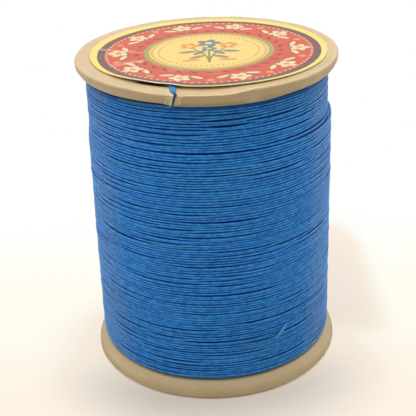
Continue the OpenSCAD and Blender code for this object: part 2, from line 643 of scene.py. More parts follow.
@dataclass(frozen=True)
class WaxedLinen:
    """Blue waxed linen thread of three plies, read from the marks that the winding leaves on it."""

    deep: Colour = srgb(14, 134, 251)
    mid: Colour = srgb(22, 154, 254)
    pale: Colour = srgb(106, 198, 255)
    # painted shade where turns touch and under the upper disc
    turn_shade: Colour = srgb(0, 44, 142)
    # pale grey of the painted sheen at the winding's grazing edges
    bloom: Colour = srgb(188, 192, 190)
    lay: float = 1.56 * MM
    plies: int = 3
    top: float = 63.8 * MM

    def material(self) -> bpy.types.Material:
        """Builds the finish.

        Returns:
            The material.
        """
        g = FinishGraph("waxed_linen")
        x, y, z = g.parts(g.place)
        radius = g.length(x, y)
        along = g.attribute("along")
        around = g.math("ARCTAN2", z - g.attribute("heart_z"), radius - g.attribute("heart_r"))
        phase = around * (self.plies / 2) + along * (math.pi * self.plies / self.lay)
        ply = abs(g.math("COSINE", phase))
        fibre = g.node(
            "ShaderNodeTexNoise",
            inputs={
                "Vector": g.vector(along * 1400.0, around * 2.5 + along * 2400.0, 0.0),
                "Scale": 1.0,
                "Detail": 2.0,
            },
        )
        slub = g.noise1(along, 45.0, 2.0, 0.6)
        tone = g.noise1(along, 14.0, 2.0, 0.6)
        colour = g.blend(g.smooth(tone, 0.32, 0.66), self.deep, self.mid)
        colour = g.blend(g.smooth(slub, 0.5, 0.75) * 0.3, colour, self.pale)
        colour = g.blend(g.smooth(fibre, 0.5, 0.75) * 0.65, colour, self.pale)
        mottle = g.smooth(g.noise1(along, 560.0, 2.0, 0.6), 0.3, 0.7)
        # painted highlight on the plies' crowns
        colour = g.blend(g.smooth(ply, 0.6, 1.0) * (0.1 + 0.35 * mottle), colour, self.pale)
        above = z - g.attribute("heart_z")
        upper = g.smooth(above, -0.02 * MM, 0.02 * MM)
        room = g.attribute("room_below") * (1.0 - upper) + g.attribute("room_above") * upper
        off = abs(above - 0.04 * MM)
        crown = g.smooth(off, g.clamp(room, 0.08 * MM, 0.25 * MM), 0.09 * MM)
        # painted highlight along each turn's crest
        colour = g.blend(g.smooth(off, 0.13 * MM, 0.02 * MM) * 0.32, colour, self.pale)
        # painted shade where neighbouring turns touch, stronger on the right side
        line = g.noise1(along - (1.0 - upper) * (TURN * LAY_R), 42.0, 2.0, 0.6)
        dark = 0.3 + 0.7 * g.smooth(line, 0.42, 0.62)
        dark = g.clamp(dark + 0.65 * g.smooth(x / radius, 0.25, 0.8))
        colour = g.blend((1.0 - crown) * dark, colour, self.turn_shade)
        # painted shade on the top turns under the upper disc
        shaded = g.smooth(z, self.top - 1.3 * MM, self.top - 0.7 * MM) * 0.8
        colour = g.blend(shaded, colour, self.turn_shade)
        # painted shade in the grooves between plies, and tone that differs along the thread
        colour = g.shade(colour, (0.74 + 0.3 * g.smooth(ply, 0.0, 0.6)) * (0.84 + 0.3 * mottle))
        right = g.smooth(x / radius, 0.0, 0.5)
        # painted shade: darker towards the bottom, more so on the right
        colour = g.shade(colour, 1.0 - g.smooth(z, 25 * MM, 12 * MM) * (0.07 + 0.06 * right))
        outward = g.vector(x / radius, y / radius, 0.0)
        facing = g.node(
            "ShaderNodeLayerWeight", inputs={"Blend": 0.5, "Normal": outward}, output="Facing"
        )
        # painted sheen on the crowns towards the grazing edges, more on the left
        grazing = g.smooth(facing, 0.38 + 0.05 * right, 0.63)
        colour = g.blend(grazing * (0.02 + 0.15 * crown), colour, self.bloom)
        height = g.smooth(ply, 0.0, 0.9) + fibre * 0.25
        return g.finish(
            Base_Color=colour,
            Roughness=g.clamp(0.46 + (fibre - 0.5) * 0.3, 0.3, 0.8),
            Normal=g.bump(height, 0.65, 0.06 * MM),
            Sheen_Weight=0.26,
            Sheen_Roughness=0.4,
            Sheen_Tint=(*srgb(170, 200, 235), 1.0),
            Specular_IOR_Level=0.14,
        )


@dataclass(frozen=True)
class ThreadDepth:
    """The lower layers that show between the outer turns, painted darker than the thread as shade.
    """

    colour: Colour = srgb(6, 62, 150)
    light: Colour = srgb(12, 92, 186)
    pitch: float = 0.58 * MM

    def material(self) -> bpy.types.Material:
        """Builds the finish.

        Returns:
            The material.
        """
        g = FinishGraph("thread_depth")
        _, _, z = g.parts(g.place)
        drift = g.noise(90.0, 3.0, 0.6, stretch=(1.0, 1.0, 4.0))
        wave = g.math("SINE", z * (TURN / self.pitch) + drift * 24.0)
        # lighter and darker bands, one to a turn, as painted shade in the grooves
        colour = g.blend(g.smooth(wave, -0.2, 0.9), self.colour, self.light)
        return g.finish(
            Base_Color=colour,
            Roughness=0.7,
            Normal=g.bump(wave, 0.9, 0.15 * MM),
        )


@dataclass(frozen=True)
class TailLinen:
    """The loose end of the thread, its plies partly opened and paler where they open out, with
    painted light and shade.
    """

    name: str = "tail_linen"
    colour: Colour = srgb(38, 112, 190)
    pale: Colour = srgb(86, 150, 206)

    def material(self) -> bpy.types.Material:
        """Builds the finish.

        Returns:
            The material.
        """
        g = FinishGraph(self.name)
        fibre = g.noise(2600.0, 3.0, 0.6, stretch=(1.0, 0.35, 1.0))
        spread_and_light = g.attribute("spread_and_light")
        # paler where the plies open out and on the loose fibres, and painted light on the lead under
        # the disc
        colour = g.blend(g.clamp(0.15 + spread_and_light * 0.6), self.colour, self.pale)
        # fibre tone, and painted shade on the thread inside the slit
        colour = g.shade(colour, (0.3 + 1.3 * fibre) * (1.0 - 0.1 * g.attribute("held")))
        return g.finish(
            Base_Color=colour,
            Roughness=0.55,
            Normal=g.bump(fibre, 0.7, 0.04 * MM),
            Sheen_Weight=0.12,
            Sheen_Tint=(*srgb(180, 210, 240), 1.0),
            Specular_IOR_Level=0.2,
        )


@dataclass(frozen=True)
class CoreBoard:
    """Grey-brown board, wound in a spiral with a visible butt seam."""

    colour: Colour = srgb(172, 146, 112)
    seam: Colour = srgb(116, 94, 68)
    strip: float = 34 * MM

    def material(self) -> bpy.types.Material:
        """Builds the finish.

        Returns:
            The material.
        """
        g = FinishGraph("core_board")
        x, y, z = g.parts(g.place)
        turn = g.math("ARCTAN2", y, x) / TURN
        place = g.math("FRACT", z / self.strip + turn)
        line = 1.0 - g.smooth(abs(place - 0.5), 0.0, 0.015)
        fleck = g.noise(700.0, 4.0, 0.7, stretch=(1.0, 1.0, 0.5))
        colour = g.blend(g.smooth(fleck, 0.4, 0.7) * 0.5, self.colour, self.seam)
        colour = g.blend(line * 0.8, colour, self.seam)
        return g.finish(
            Base_Color=colour, Roughness=0.85, Normal=g.bump(fleck - line, 0.4, 0.08 * MM)
        )


class Motif(Enum):
    """What is printed on a paper disc."""

    GARLAND = "garland"
    RINGS = "rings"


class PrintGraph(FinishGraph):
    """The graph of a printed disc: places in millimetres about the print's middle."""

    def __init__(self, name: str, centre: Vector, soft: float) -> None:
        """Finds the place on the paper.

        Args:
            name: the material's name.
            centre: the print's middle, in metres.
            soft: half the width of a printed edge, in millimetres.
        """
        super().__init__(name)
        self.soft = soft
        x, y, _ = self.parts(self.place)
        self.u = (x - centre.x) * (1 / MM)
        self.v = (y - centre.y) * (1 / MM)
        self.radius = self.length(self.u, self.v)
        self.angle = self.math("ARCTAN2", self.v, self.u)

    def within(self, value: Wire, limit: float) -> Wire:
        """1 where a value is below a limit, with a soft edge."""
        return self.smooth(value, limit + self.soft, limit - self.soft)

    def dot(self, u: Wire, v: Wire, radius: float) -> Wire:
        """A round dot about the origin of u and v."""
        return self.within(self.length(u, v), radius)

    def oval(self, u: Wire, v: Wire, place: Pair, size: Pair, tilt: float) -> Wire:
        """A tilted oval leaf.

        Args:
            u: across.
            v: up.
            place: the oval's middle.
            size: half its length and half its width.
            tilt: its angle in degrees.

        Returns:
            Its mask.
        """
        c, s = math.cos(math.radians(tilt)), math.sin(math.radians(tilt))
        du, dv = u - place[0], v - place[1]
        p = (du * c + dv * s) / size[0]
        q = (dv * c - du * s) / size[1]
        soft = self.soft / size[1]
        return self.smooth(p * p + q * q, 1.0 + soft, 1.0 - soft)

    def blossom(self, u: Wire, v: Wire, place: Pair, radius: float, turn: float) -> Wire:
        """A blossom of five petals.

        Args:
            u: across.
            v: up.
            place: the blossom's middle.
            radius: its size.
            turn: its turn in radians.

        Returns:
            Its mask.
        """
        du, dv = u - place[0], v - place[1]
        reach = self.length(du, dv)
        wave = abs(self.math("SINE", (self.math("ARCTAN2", dv, du) + turn) * 2.5))
        petal = 0.42
        return self.within(reach - wave * (radius * petal), radius * (1 - petal))

    def spaced(self, count: int, radius: float, shift: float = 0.0) -> Wire:
        """Distance along a circle from the nearest of its evenly spaced marks.

        Args:
            count: how many marks the circle has.
            radius: the circle's radius.
            shift: share of a space by which the marks are moved round.

        Returns:
            The distance.
        """
        spaces = self.angle * (count / TURN)
        if shift:
            spaces = spaces + shift
        return (self.math("FRACT", spaces) - 0.5) * (TURN * radius / count)


@dataclass(frozen=True)
class PrintedPaper:
    """Coated paper disc, printed with plain rings, a garland of blossoms and a sprig of flax."""

    motif: Motif
    centre: Vector
    paper: Colour = srgb(250, 240, 214)
    # unprinted paper at the rubbed edge and the cut side, brighter than the paper as a painted
    # highlight
    bare_and_highlight: Colour = srgb(255, 250, 236)
    yellow: Colour = srgb(252, 232, 122)
    brown: Colour = srgb(112, 74, 66)
    red: Colour = srgb(216, 84, 54)
    olive: Colour = srgb(170, 168, 84)
    cream: Colour = srgb(252, 220, 128)
    orange: Colour = srgb(246, 156, 74)
    ivory: Colour = srgb(253, 232, 180)
    gold: Colour = srgb(246, 158, 84)
    ink: Colour = srgb(104, 50, 42)
    slate: Colour = srgb(120, 128, 132)
    leaf: Colour = srgb(140, 138, 66)
    soft: float = 0.09

    def _rings(self, g: PrintGraph, rings: tuple[tuple[float, Colour], ...]) -> Wire:
        """The plain printed rings.

        Args:
            g: the graph.
            rings: outer radius and colour of each ring, from the rim inward.

        Returns:
            Their colours on yellow.
        """
        colour: Any = self.yellow
        for limit, ring in rings:
            colour = g.blend(g.within(g.radius, limit), colour, ring)
        return colour

    def _garland(self, g: PrintGraph, colour: Wire) -> Wire:
        """Blossoms, leaves, a vine and beads on the rings.

        Args:
            g: the graph.
            colour: the ground colour.

        Returns:
            The colour with the garland.
        """
        count, middle, vine_r, bead_r, shadow = 10, 18.1, 14.6, 20.75, 0.22
        u, v = g.spaced(count, middle, 0.5), g.radius - middle
        for across, up, ink in ((u - shadow, v + shadow, self.ink), (u, v, self.ivory)):
            bloom = g.blossom(across, up, (0.0, 0.2), 2.15, 0.3)
            leaves = [
                g.oval(across, up, (3.1 * side, -0.7), (1.5, 0.55), 28.0 * side) for side in (1, -1)
            ]
            mask = g.math("MAXIMUM", bloom, g.math("MAXIMUM", *leaves))
            colour = g.blend(mask * 0.92, colour, ink)
        colour = g.blend(g.dot(u, v - 0.2, 0.62), colour, self.gold)
        reach = abs(g.spaced(count, middle)) * 1.2 + abs(v - 1.1)
        colour = g.blend(g.within(reach, 0.95), colour, self.gold)
        vine_u = g.spaced(count * 3, vine_r)
        vine = g.oval(vine_u, g.radius - vine_r, (0.0, 0.0), (0.95, 0.36), 32.0)
        colour = g.blend(vine * 0.8, colour, self.ink)
        beads = g.dot(g.spaced(96, bead_r), g.radius - bead_r, 0.26)
        return g.blend(beads * 0.9, colour, self.ivory)

    def _sprig(self, g: PrintGraph, colour: Wire) -> Wire:
        """A sprig of flax in the middle of the disc, in a ring of beads.

        Args:
            g: the graph.
            colour: the ground colour.

        Returns:
            The colour with the sprig.
        """
        foot, bead_r = 8.0, 10.2
        for lean in (-0.085, 0.0, 0.085):
            stem = abs(g.u - lean * (g.v + foot) * (g.v + foot) * 0.4)
            stem = g.within(stem, 0.22) * g.within(abs(g.v + 1.6), 6.4)
            colour = g.blend(stem, colour, self.leaf)
        for (across, up), tilt, ink in (
            ((2.3, -4.2), 34.0, self.leaf),
            ((1.9, -1.2), 52.0, self.slate),
            ((4.3, -0.6), 12.0, self.slate),
            ((3.6, -6.3), 8.0, self.orange),
        ):
            for side in (-1, 1):
                leaf = g.oval(g.u, g.v, (side * across, up), (1.9, 0.7), -side * tilt)
                colour = g.blend(leaf * 0.9, colour, ink)
        for place, size, ink in (
            ((0.0, 5.4), 2.6, self.slate),
            ((-4.0, 3.6), 2.1, self.orange),
            ((4.0, 3.6), 2.1, self.orange),
            ((0.0, 1.4), 1.7, self.slate),
        ):
            colour = g.blend(g.blossom(g.u, g.v, place, size, 0.6), colour, ink)
            heart = g.dot(g.u - place[0], g.v - place[1], size * 0.3)
            colour = g.blend(heart, colour, self.yellow)
        beads = g.dot(g.spaced(60, bead_r), g.radius - bead_r, 0.2)
        return g.blend(beads * 0.8, colour, self.ink)

    def material(self) -> bpy.types.Material:
        """Builds the finish.

        Returns:
            The material.
        """
        g = PrintGraph(f"printed_paper_{self.motif.value}", self.centre, self.soft)
        if self.motif is Motif.GARLAND:
            outer = ((22.6, self.brown), (21.1, self.red), (13.2, self.olive))
            inner = ((12.1, self.cream), (11.75, self.orange), (11.4, self.cream))
            colour = self._sprig(g, self._garland(g, self._rings(g, outer + inner)))
        else:
            colour = self._rings(g, ((22.9, self.brown), (21.8, self.paper)))
            colour = g.blend(g.within(abs(g.radius - 9.4), 0.3), colour, self.red)
        fade = g.noise(160.0, 4.0, 0.6, shift=5.0)
        colour = g.blend(g.smooth(fade, 0.5, 0.85) * 0.22, colour, self.paper)
        # the rubbed spot, and painted highlights along the creases
        colour = g.shade(g.blend(g.attribute("worn"), colour, self.paper), 0.87)
        # unprinted paper at the edge, spared the darkening above: partly a painted highlight
        colour = g.blend(g.attribute("edge"), colour, self.bare_and_highlight)
        grain = g.noise(1500.0, 3.0, 0.6)
        normal = g.bump(g.noise(130.0, 2.0, 0.5, shift=9.0), 0.5, 0.12 * MM)
        normal = g.bump(grain, 0.15, 0.02 * MM, normal)
        return g.finish(
            Base_Color=colour,
            Roughness=g.clamp(0.5 + (fade - 0.5) * 0.4, 0.3, 0.75),
            Normal=normal,
            Coat_Weight=0.1,
            Coat_Roughness=0.3,
            Specular_IOR_Level=0.35,
        )


# ---------------------------------------------------------------- end discs


class Site(NamedTuple):
    """A place of an end disc as drawn, in millimetres.

    Its distance in from the rim, its depth below the outer face, and its distance along the rim
    from the slit's wall, positive to the right of the slit.
    """

    inward: float
    depth: float
    beside: float


@dataclass(frozen=True)
class Warp:
    """How a moulding differs from its drawing at one place, in millimetres, and what is painted
    there.
    """

    radius: float = 0.0
    depth: float = 0.0
    # wear, and painted highlight
    worn: float = 0.0
    # painted shade
    painted_shade: float = 0.0

    def __add__(self, other: "Warp") -> "Warp":
        """Both differences together."""
        radius, depth = self.radius + other.radius, self.depth + other.depth
        return Warp(radius, depth, self.worn + other.worn, self.painted_shade + other.painted_shade)

    def __mul__(self, share: float) -> "Warp":
        """A share of the difference."""
        return Warp(self.radius * share, self.depth * share, self.worn * share, self.painted_shade * share)


@dataclass
class FlangeMoulding:
    """One end disc with its hub, spigot and ribs, its edges drawn as they came from the mould.

    The slit's width and all marks of moulding and use are in millimetres.
    """

    sizes: ReelSizes
    name: str
    node: str
    inward: float
    slit_angle: float
    seed: float
    columns: int = 540
    crowding: float = 0.75
    slit_w: float = 0.62
    wave: float = 0.06
    ripple: float = 0.05
    line_rise: float = 0.12
    line_in: float = 0.45
    slit_depth: float = 3.0 * MM
    face_edge_r: float = 0.32 * MM
    inner_edge_r: float = 2.4 * MM
    bore_r: float = 4.0 * MM
    hub_wall: float = 1.6 * MM
    hub_len: float = 12.0 * MM
    spigot_len: float = 8.0 * MM
    spigot_wall: float = 1.4 * MM
    spigot_slots: int = 4
    spigot_slot_w: float = 2.0 * MM
    spigot_gap: float = 0.05 * MM
    rib_t: float = 1.2 * MM
    rib_count: int = 6

    FACE_RINGS = (6, 10, 15, 20, 21, 21.6, 22, 22.4, 22.8, 23.1, 23.4)
    BACK_RINGS = (22.6, 20, 16, 10)

    @property
    def face_z(self) -> float:
        """Height of the outer face."""
        return self.sizes.top_face_z if self.inward < 0 else self.sizes.low_face_z

    def _profile(self) -> tuple[list[tuple[float, float]], range]:
        """The disc's half section, from the bore over the face and back.

        Returns:
            Radius and depth below the outer face of each row, and the rows that the slit reaches.
        """
        rim, thick = self.sizes.flange_r, self.sizes.flange_t
        slit_r = rim - self.slit_depth
        small, large = self.face_edge_r, self.inner_edge_r
        rows = [(self.bore_r, 0.0), *((r * MM, 0.0) for r in self.FACE_RINGS)]
        start = len(rows)
        rows += [(slit_r + (rim - small - slit_r) * k / 12, 0.0) for k in range(13)]
        for a in quarter(5):
            rows.append((rim - small + small * math.sin(a), small * (1 - math.cos(a))))
        rows += [(rim, small + (thick - small - large) * k / 4) for k in range(1, 5)]
        for a in quarter(14):
            rows.append((rim - large + large * math.cos(a), thick - large * (1 - math.sin(a))))
        rows.append((slit_r, thick))
        cut = range(start, len(rows))
        rows += [*((r * MM, thick) for r in self.BACK_RINGS), (self.bore_r, thick)]
        return rows, cut

    def _walls(self, at: Site) -> Pair:
        """Where the slit's right and left wall stand beside its drawn middle at a place."""
        return self.slit_w / 2, -self.slit_w / 2

    def _calm(self, at: Site) -> float:
        """Share of the raised edge line that is left at a place."""
        return 1.0

    def _use(self, at: Site) -> Warp:
        """Marks that this one disc has and the other has not."""
        return Warp()

    def _glue(self, at: Site, place: Vector) -> float:
        """Share of painted shade under the paper's lifted edge at a place."""
        return 0.0

    def _near_rim(self, at: Site) -> float:
        """1 at the rim and 0 further in."""
        return step(at.inward, 1.8, 0.2)

    def _edge_line(self, at: Site, around: Vector) -> Warp:
        """The raised, ragged line along the outer edge of the face.

        Args:
            at: the place.
            around: its direction, for the noise.

        Returns:
            The line's rise and the painted highlight along it.
        """
        ragged = 0.5 + 0.5 * rand(*(around * 13), self.seed) + 0.35 * rand(*(around * 42), self.seed)
        line = hump(at.inward - self.line_in, 0.28) * step(at.depth, 0.5, 0.0) * max(ragged, 0.0)
        return Warp(depth=-self.line_rise * line, worn=0.5 * line)

    def _warp(self, at: Site) -> Warp:
        """How the moulding differs from the drawing at one place.

        Args:
            at: the place.

        Returns:
            The change, the wear and the painted light and shade there.
        """
        turn = at.beside * MM / self.sizes.flange_r
        around = Vector((math.cos(turn), math.sin(turn)))
        layer = at.depth * MM / self.sizes.flange_t
        wave = self.wave * rand(*(around * 6), self.seed + 5)
        wave += self.wave / 2 * rand(*(around * 24), self.seed + 9)
        ripple = self.ripple * rand(*(around * 18), self.seed + 13 + layer)
        line = self._edge_line(at, around) * self._calm(at)
        return Warp(ripple, wave) * self._near_rim(at) + line + self._use(at)

    def _shares(self) -> list[float]:
        """Places of the columns round the disc, closer together near the slit."""
        even = [k / self.columns for k in range(self.columns + 1)]
        return [share - self.crowding * math.sin(TURN * share) / TURN for share in even]

    def _disc(self, draft: MeshDraft) -> None:
        """Draws the disc with its slit.

        Args:
            draft: the mesh being drawn up.
        """
        profile, cut = self._profile()
        rim = self.sizes.flange_r
        grid: list[list[int]] = []
        for share in self._shares():
            column = []
            beside = (share if share < 0.5 else share - 1) * TURN * rim / MM
            for radius, depth in profile:
                at = Site((rim - radius) / MM, depth / MM, beside)
                right, left = (wall * MM / radius for wall in self._walls(at))
                angle = self.slit_angle + right + (TURN - right + left) * share
                place = polar(radius, angle, self.face_z + self.inward * depth)
                warp = self._warp(at)
                change = warp.radius * MM, self.inward * warp.depth * MM
                place += polar(change[0], math.atan2(place.y, place.x), change[1])
                marks = {"worn": min(warp.worn, 1.0), "painted_shade": warp.painted_shade}
                column.append(draft.point(place, **marks, glue=self._glue(at, place)))
            grid.append(column)
        draft.skin(grid)
        first, last = grid[0], grid[-1]
        for i in range(len(profile)):
            after = (i + 1) % len(profile)
            if not (i in cut and after in cut):
                draft.face(last[i], first[i], first[after], last[after])
        draft.face(*(first[i] for i in cut))
        draft.face(*(last[i] for i in reversed(cut)))
        draft.face(first[cut[0]], first[cut[-1]], last[cut[-1]], last[cut[0]])

    def _arc(self, draft: MeshDraft, radii: Pair, length: float, angles: Pair, steps: int) -> None:
        """Draws a curved bar or, over a whole turn, a ring, standing on the disc's inner face.

        Args:
            draft: the mesh being drawn up.
            radii: inner and outer radius.
            length: how far it stands out.
            angles: first and last direction.
            steps: sections along it.
        """
        thick = self.sizes.flange_t
        low, high = (self.face_z + self.inward * d for d in (thick, thick + length))
        corners = [(radii[0], low), (radii[1], low), (radii[1], high), (radii[0], high)]
        start, span = angles[0], angles[1] - angles[0]
        whole = abs(span - TURN) < 1e-6
        turns = [start + span * k / steps for k in range(steps if whole else steps + 1)]
        draft.tube([[polar(r, a, z) for r, z in corners] for a in turns], closed=whole)

    def _inside(self, draft: MeshDraft) -> None:
        """Draws the hub, the spigot's fingers and the ribs.

        Args:
            draft: the mesh being drawn up.
        """
        hub_r = self.bore_r + self.hub_wall
        spigot_r = self.sizes.core_in_r - self.spigot_gap
        spigot_in_r = spigot_r - self.spigot_wall
        self._arc(draft, (self.bore_r, hub_r), self.hub_len, (0.0, TURN), 96)
        finger = TURN / self.spigot_slots
        half = self.spigot_slot_w / 2 / spigot_in_r
        for k in range(self.spigot_slots):
            start = math.radians(45) + self.slit_angle + finger * k
            angles = start + half, start + finger - half
            self._arc(draft, (spigot_in_r, spigot_r), self.spigot_len, angles, 24)
        half = self.rib_t / 2 / hub_r * 0.7
        for k in range(self.rib_count):
            middle = self.slit_angle + TURN * k / self.rib_count
            angles = middle - half, middle + half
            self._arc(draft, (hub_r, spigot_in_r), self.spigot_len / 2, angles, 1)

    def build(self, material: bpy.types.Material) -> bpy.types.Object:
        """Builds the end disc.

        Args:
            material: the moulding's finish.

        Returns:
            The piece.
        """
        draft = MeshDraft()
        self._disc(draft)
        self._inside(draft)
        made = draft.piece(self.name, material, crease=35.0)
        settle(made, "moulding", self.node)
        return made


@dataclass
class LowerFlange(FlangeMoulding):
    """The lower end disc, with the raised ring on its inner face that meets the winding."""

    name: str = "bottom_disc"
    node: str = "bottom_flange"
    inward: float = 1.0
    slit_angle: float = LOWER_SLIT_ANGLE
    seed: float = 31.0
    ring_rise: float = 0.34

    def _use(self, at: Site) -> Warp:
        """The raised ring, painted light on the disc's corners, and painted shade beside the
        winding.

        Args:
            at: the place.

        Returns:
            The change and the painted light and shade there.
        """
        back = self.sizes.flange_t / MM - at.depth
        ring = step(at.inward, 6.2, 4.1) * step(at.inward, 0.6, 2.2) * step(back, 1.2, 0.1)
        # painted light on the inner face by the winding and on the bottom outer corner
        worn = 0.3 * step(at.depth, 2.4, 2.9)
        worn += 0.2 * step(at.depth, 1.5, 0.3) * step(at.inward, 0.6, 0.2)
        # painted shade on the inner face by the winding
        return Warp(depth=self.ring_rise * ring, worn=worn, painted_shade=0.2 * step(at.depth, 2.3, 2.8))


@dataclass
class UpperFlange(FlangeMoulding):
    """The upper end disc, which has sagged in front, with the slit that holds the thread, marked by
    wear.
    """

    name: str = "top_disc"
    node: str = "top_flange"
    inward: float = -1.0
    slit_angle: float = SLIT_ANGLE
    seed: float = 2.0
    slit_half: float = 0.29
    slit_close: float = 0.6
    lip_w: float = 1.5
    lip_fold: float = 0.22
    lip_press: float = 0.38
    lip_bulge: float = 0.3
    notch_depth: float = 0.25
    tab_rise: float = 0.11
    sag_far: float = 0.2
    sag_face: float = 0.5
    sag_back: float = 0.38
    burr_at: float = 14.8
    burr_rise: float = 0.12

    def _walls(self, at: Site) -> Pair:
        """Where the walls of the leaning slit stand; its inner end has closed behind the thread.

        Args:
            at: the place.

        Returns:
            Right and left distance from the slit's drawn middle.
        """
        inward = max(at.inward - self.slit_close, 0.0)
        middle = SLIT_ASIDE - SLIT_LEAN * at.depth - 0.8 * inward
        half = max(self.slit_half - 0.02 * at.depth - 0.2 * inward, 0.02)
        return middle + half, middle - half

    def _calm(self, at: Site) -> float:
        """Share of the raised edge line that is left at a place."""
        return 0.3 if at.beside < 0 else step(at.beside, 1.0, 1.6)

    def _sag(self, at: Site) -> float:
        """How far the front of the disc has sagged towards the thread.

        Args:
            at: the place.

        Returns:
            The sag of the rim, which is greatest in the first 15 mm right of the slit.
        """
        low = step(at.depth, 0.8, 1.8)
        if at.beside < 0:
            drop = self.sag_far * (1 - low)
        else:
            upper = self.sag_far + self.sag_face * step(at.beside, 15, 8.5)
            lower = self.sag_far + self.sag_back * step(at.beside, 26, 17)
            drop = upper + (lower - upper) * low
        return drop * step(abs(at.beside), 48, 34)

    def _lip(self, at: Site) -> Warp:
        """The plastic left of the slit, pressed down and paler where the thread was pulled in.

        Args:
            at: the place.

        Returns:
            The change, the wear, a painted highlight along the slit's wall and painted shade in the
            notch.
        """
        away = -at.beside
        edge = step(at.inward, 2.2, 0.5)
        lip = step(away, self.lip_w, 1.0) * edge
        low = step(at.depth, 0.9, 2.4)
        drop = self.lip_fold * lip * low * max(1 - away / self.lip_w, 0.0)
        drop += self.lip_press * step(away, 12, 2) * step(at.depth, 1.4, 0.2) * edge
        streak = hump(away - 0.7, 0.16) * step(at.depth, 0.5, 1.2)
        # paler where pressed, and a painted highlight along the slit's wall
        worn = lip * (0.5 - 0.35 * streak) + 0.9 * hump(away, 0.25) * edge
        notch = hump(away - 0.95, 0.14) * hump(at.depth - 0.3, 0.2) * edge
        out = lip * (0.08 + self.lip_bulge * low) - self.notch_depth * notch
        # its last value is painted shade in the notch
        return Warp(out, drop, worn, 0.9 * notch)

    def _tab(self, at: Site) -> Warp:
        """A small flat patch right of the slit, standing proud of the rim, with a painted highlight
        as its pale outline.

        Args:
            at: the place.

        Returns:
            The change, and the paleness and painted highlight there.
        """
        _, down, across = at
        body = step(across, 1.05, 0.82) * step(down, 0.35, 0.6) * step(down, 1.95, 1.75)
        right = hump(across - 0.88, 0.13) * step(down, 0.4, 0.9) * step(down, 1.9, 1.7)
        below = hump(down - 1.78, 0.12) * step(across, 1.0, 0.8)
        return Warp(radius=self.tab_rise * body, worn=0.25 * body + 0.55 * max(right, below))

    def _crisp(self, at: Site) -> Warp:
        """The sharper corner right of the slit, and the burr where it ends.

        Args:
            at: the place.

        Returns:
            The change, and the painted highlight along the corner and on the burr.
        """
        burr = hump(at.beside - self.burr_at, 1.3) * hump(at.inward - 0.4, 0.3)
        # painted highlight on the burr
        marks = Warp(depth=-self.burr_rise * burr * step(at.depth, 0.5, 0.0), worn=0.5 * burr)
        if max(at.inward, at.depth) <= self.face_edge_r / MM + 1e-6:
            crisp = 0.75 * step(at.beside, 1.0, 1.5) * step(at.beside, 15, 12.5)
            # painted highlight along the sharper corner
            worn = 0.35 * crisp * step(at.depth, 0.3, 0.1)
            marks += Warp(crisp * at.inward, -crisp * at.depth, worn)
        return marks

    def _use(self, at: Site) -> Warp:
        """The sag and the painted shade on the rounding below it, the corner, and the lip or the
        patch beside the slit.

        Args:
            at: the place.

        Returns:
            The change, the wear and the painted light and shade there.
        """
        # painted shade on the rim's lower rounding right of the slit
        painted_shade = 0.95 * step(at.depth, 1.4, 1.75) * step(at.inward, 2, 1)
        painted_shade *= step(at.beside, -2, 0.5) * step(at.beside, 30, 16)
        sag = self._sag(at) * step(at.inward, 4.2, 0.2)
        marks = Warp(depth=sag, painted_shade=painted_shade) + self._crisp(at)
        if at.beside < 0:
            return marks + self._lip(at)
        return marks + self._tab(at) * self._near_rim(at)

    def _glue(self, at: Site, place: Vector) -> float:
        """Share of painted shade, dark brown, on the face under the paper's lifted edge.

        Args:
            at: the place as drawn.
            place: the point of the disc.

        Returns:
            The share.
        """
        if at.depth > 0:
            return 0.0
        out = place.xy - LABEL_CENTRE.xy
        turn = math.atan2(out.y, out.x) - FLAP_ANGLE + 0.1
        away = math.degrees(abs((turn + math.pi) % TURN - math.pi))
        lobe = 0.2 + 0.8 * step(away, 11, 5)
        return lobe * step(away, 75, 50) * step((self.sizes.label_r - out.length) / MM, 0.1, 0.4)


# ---------------------------------------------------------------- thread


# The neck's drop, how much lower it starts on the left, and the height over which it narrows, in
# millimetres, on the right and how much more on the left.
NECK_SHARE, NECK_LEAN = 0.72, 0.25
NECK_SLANT, NECK_RUN, NECK_RUN_LEFT = 1.2, 1.2, 2.8


def neck_share(angle: float) -> float:
    """Share of the neck's full drop at a direction; it is deeper on the right."""
    return NECK_SHARE + NECK_LEAN * math.cos(angle)


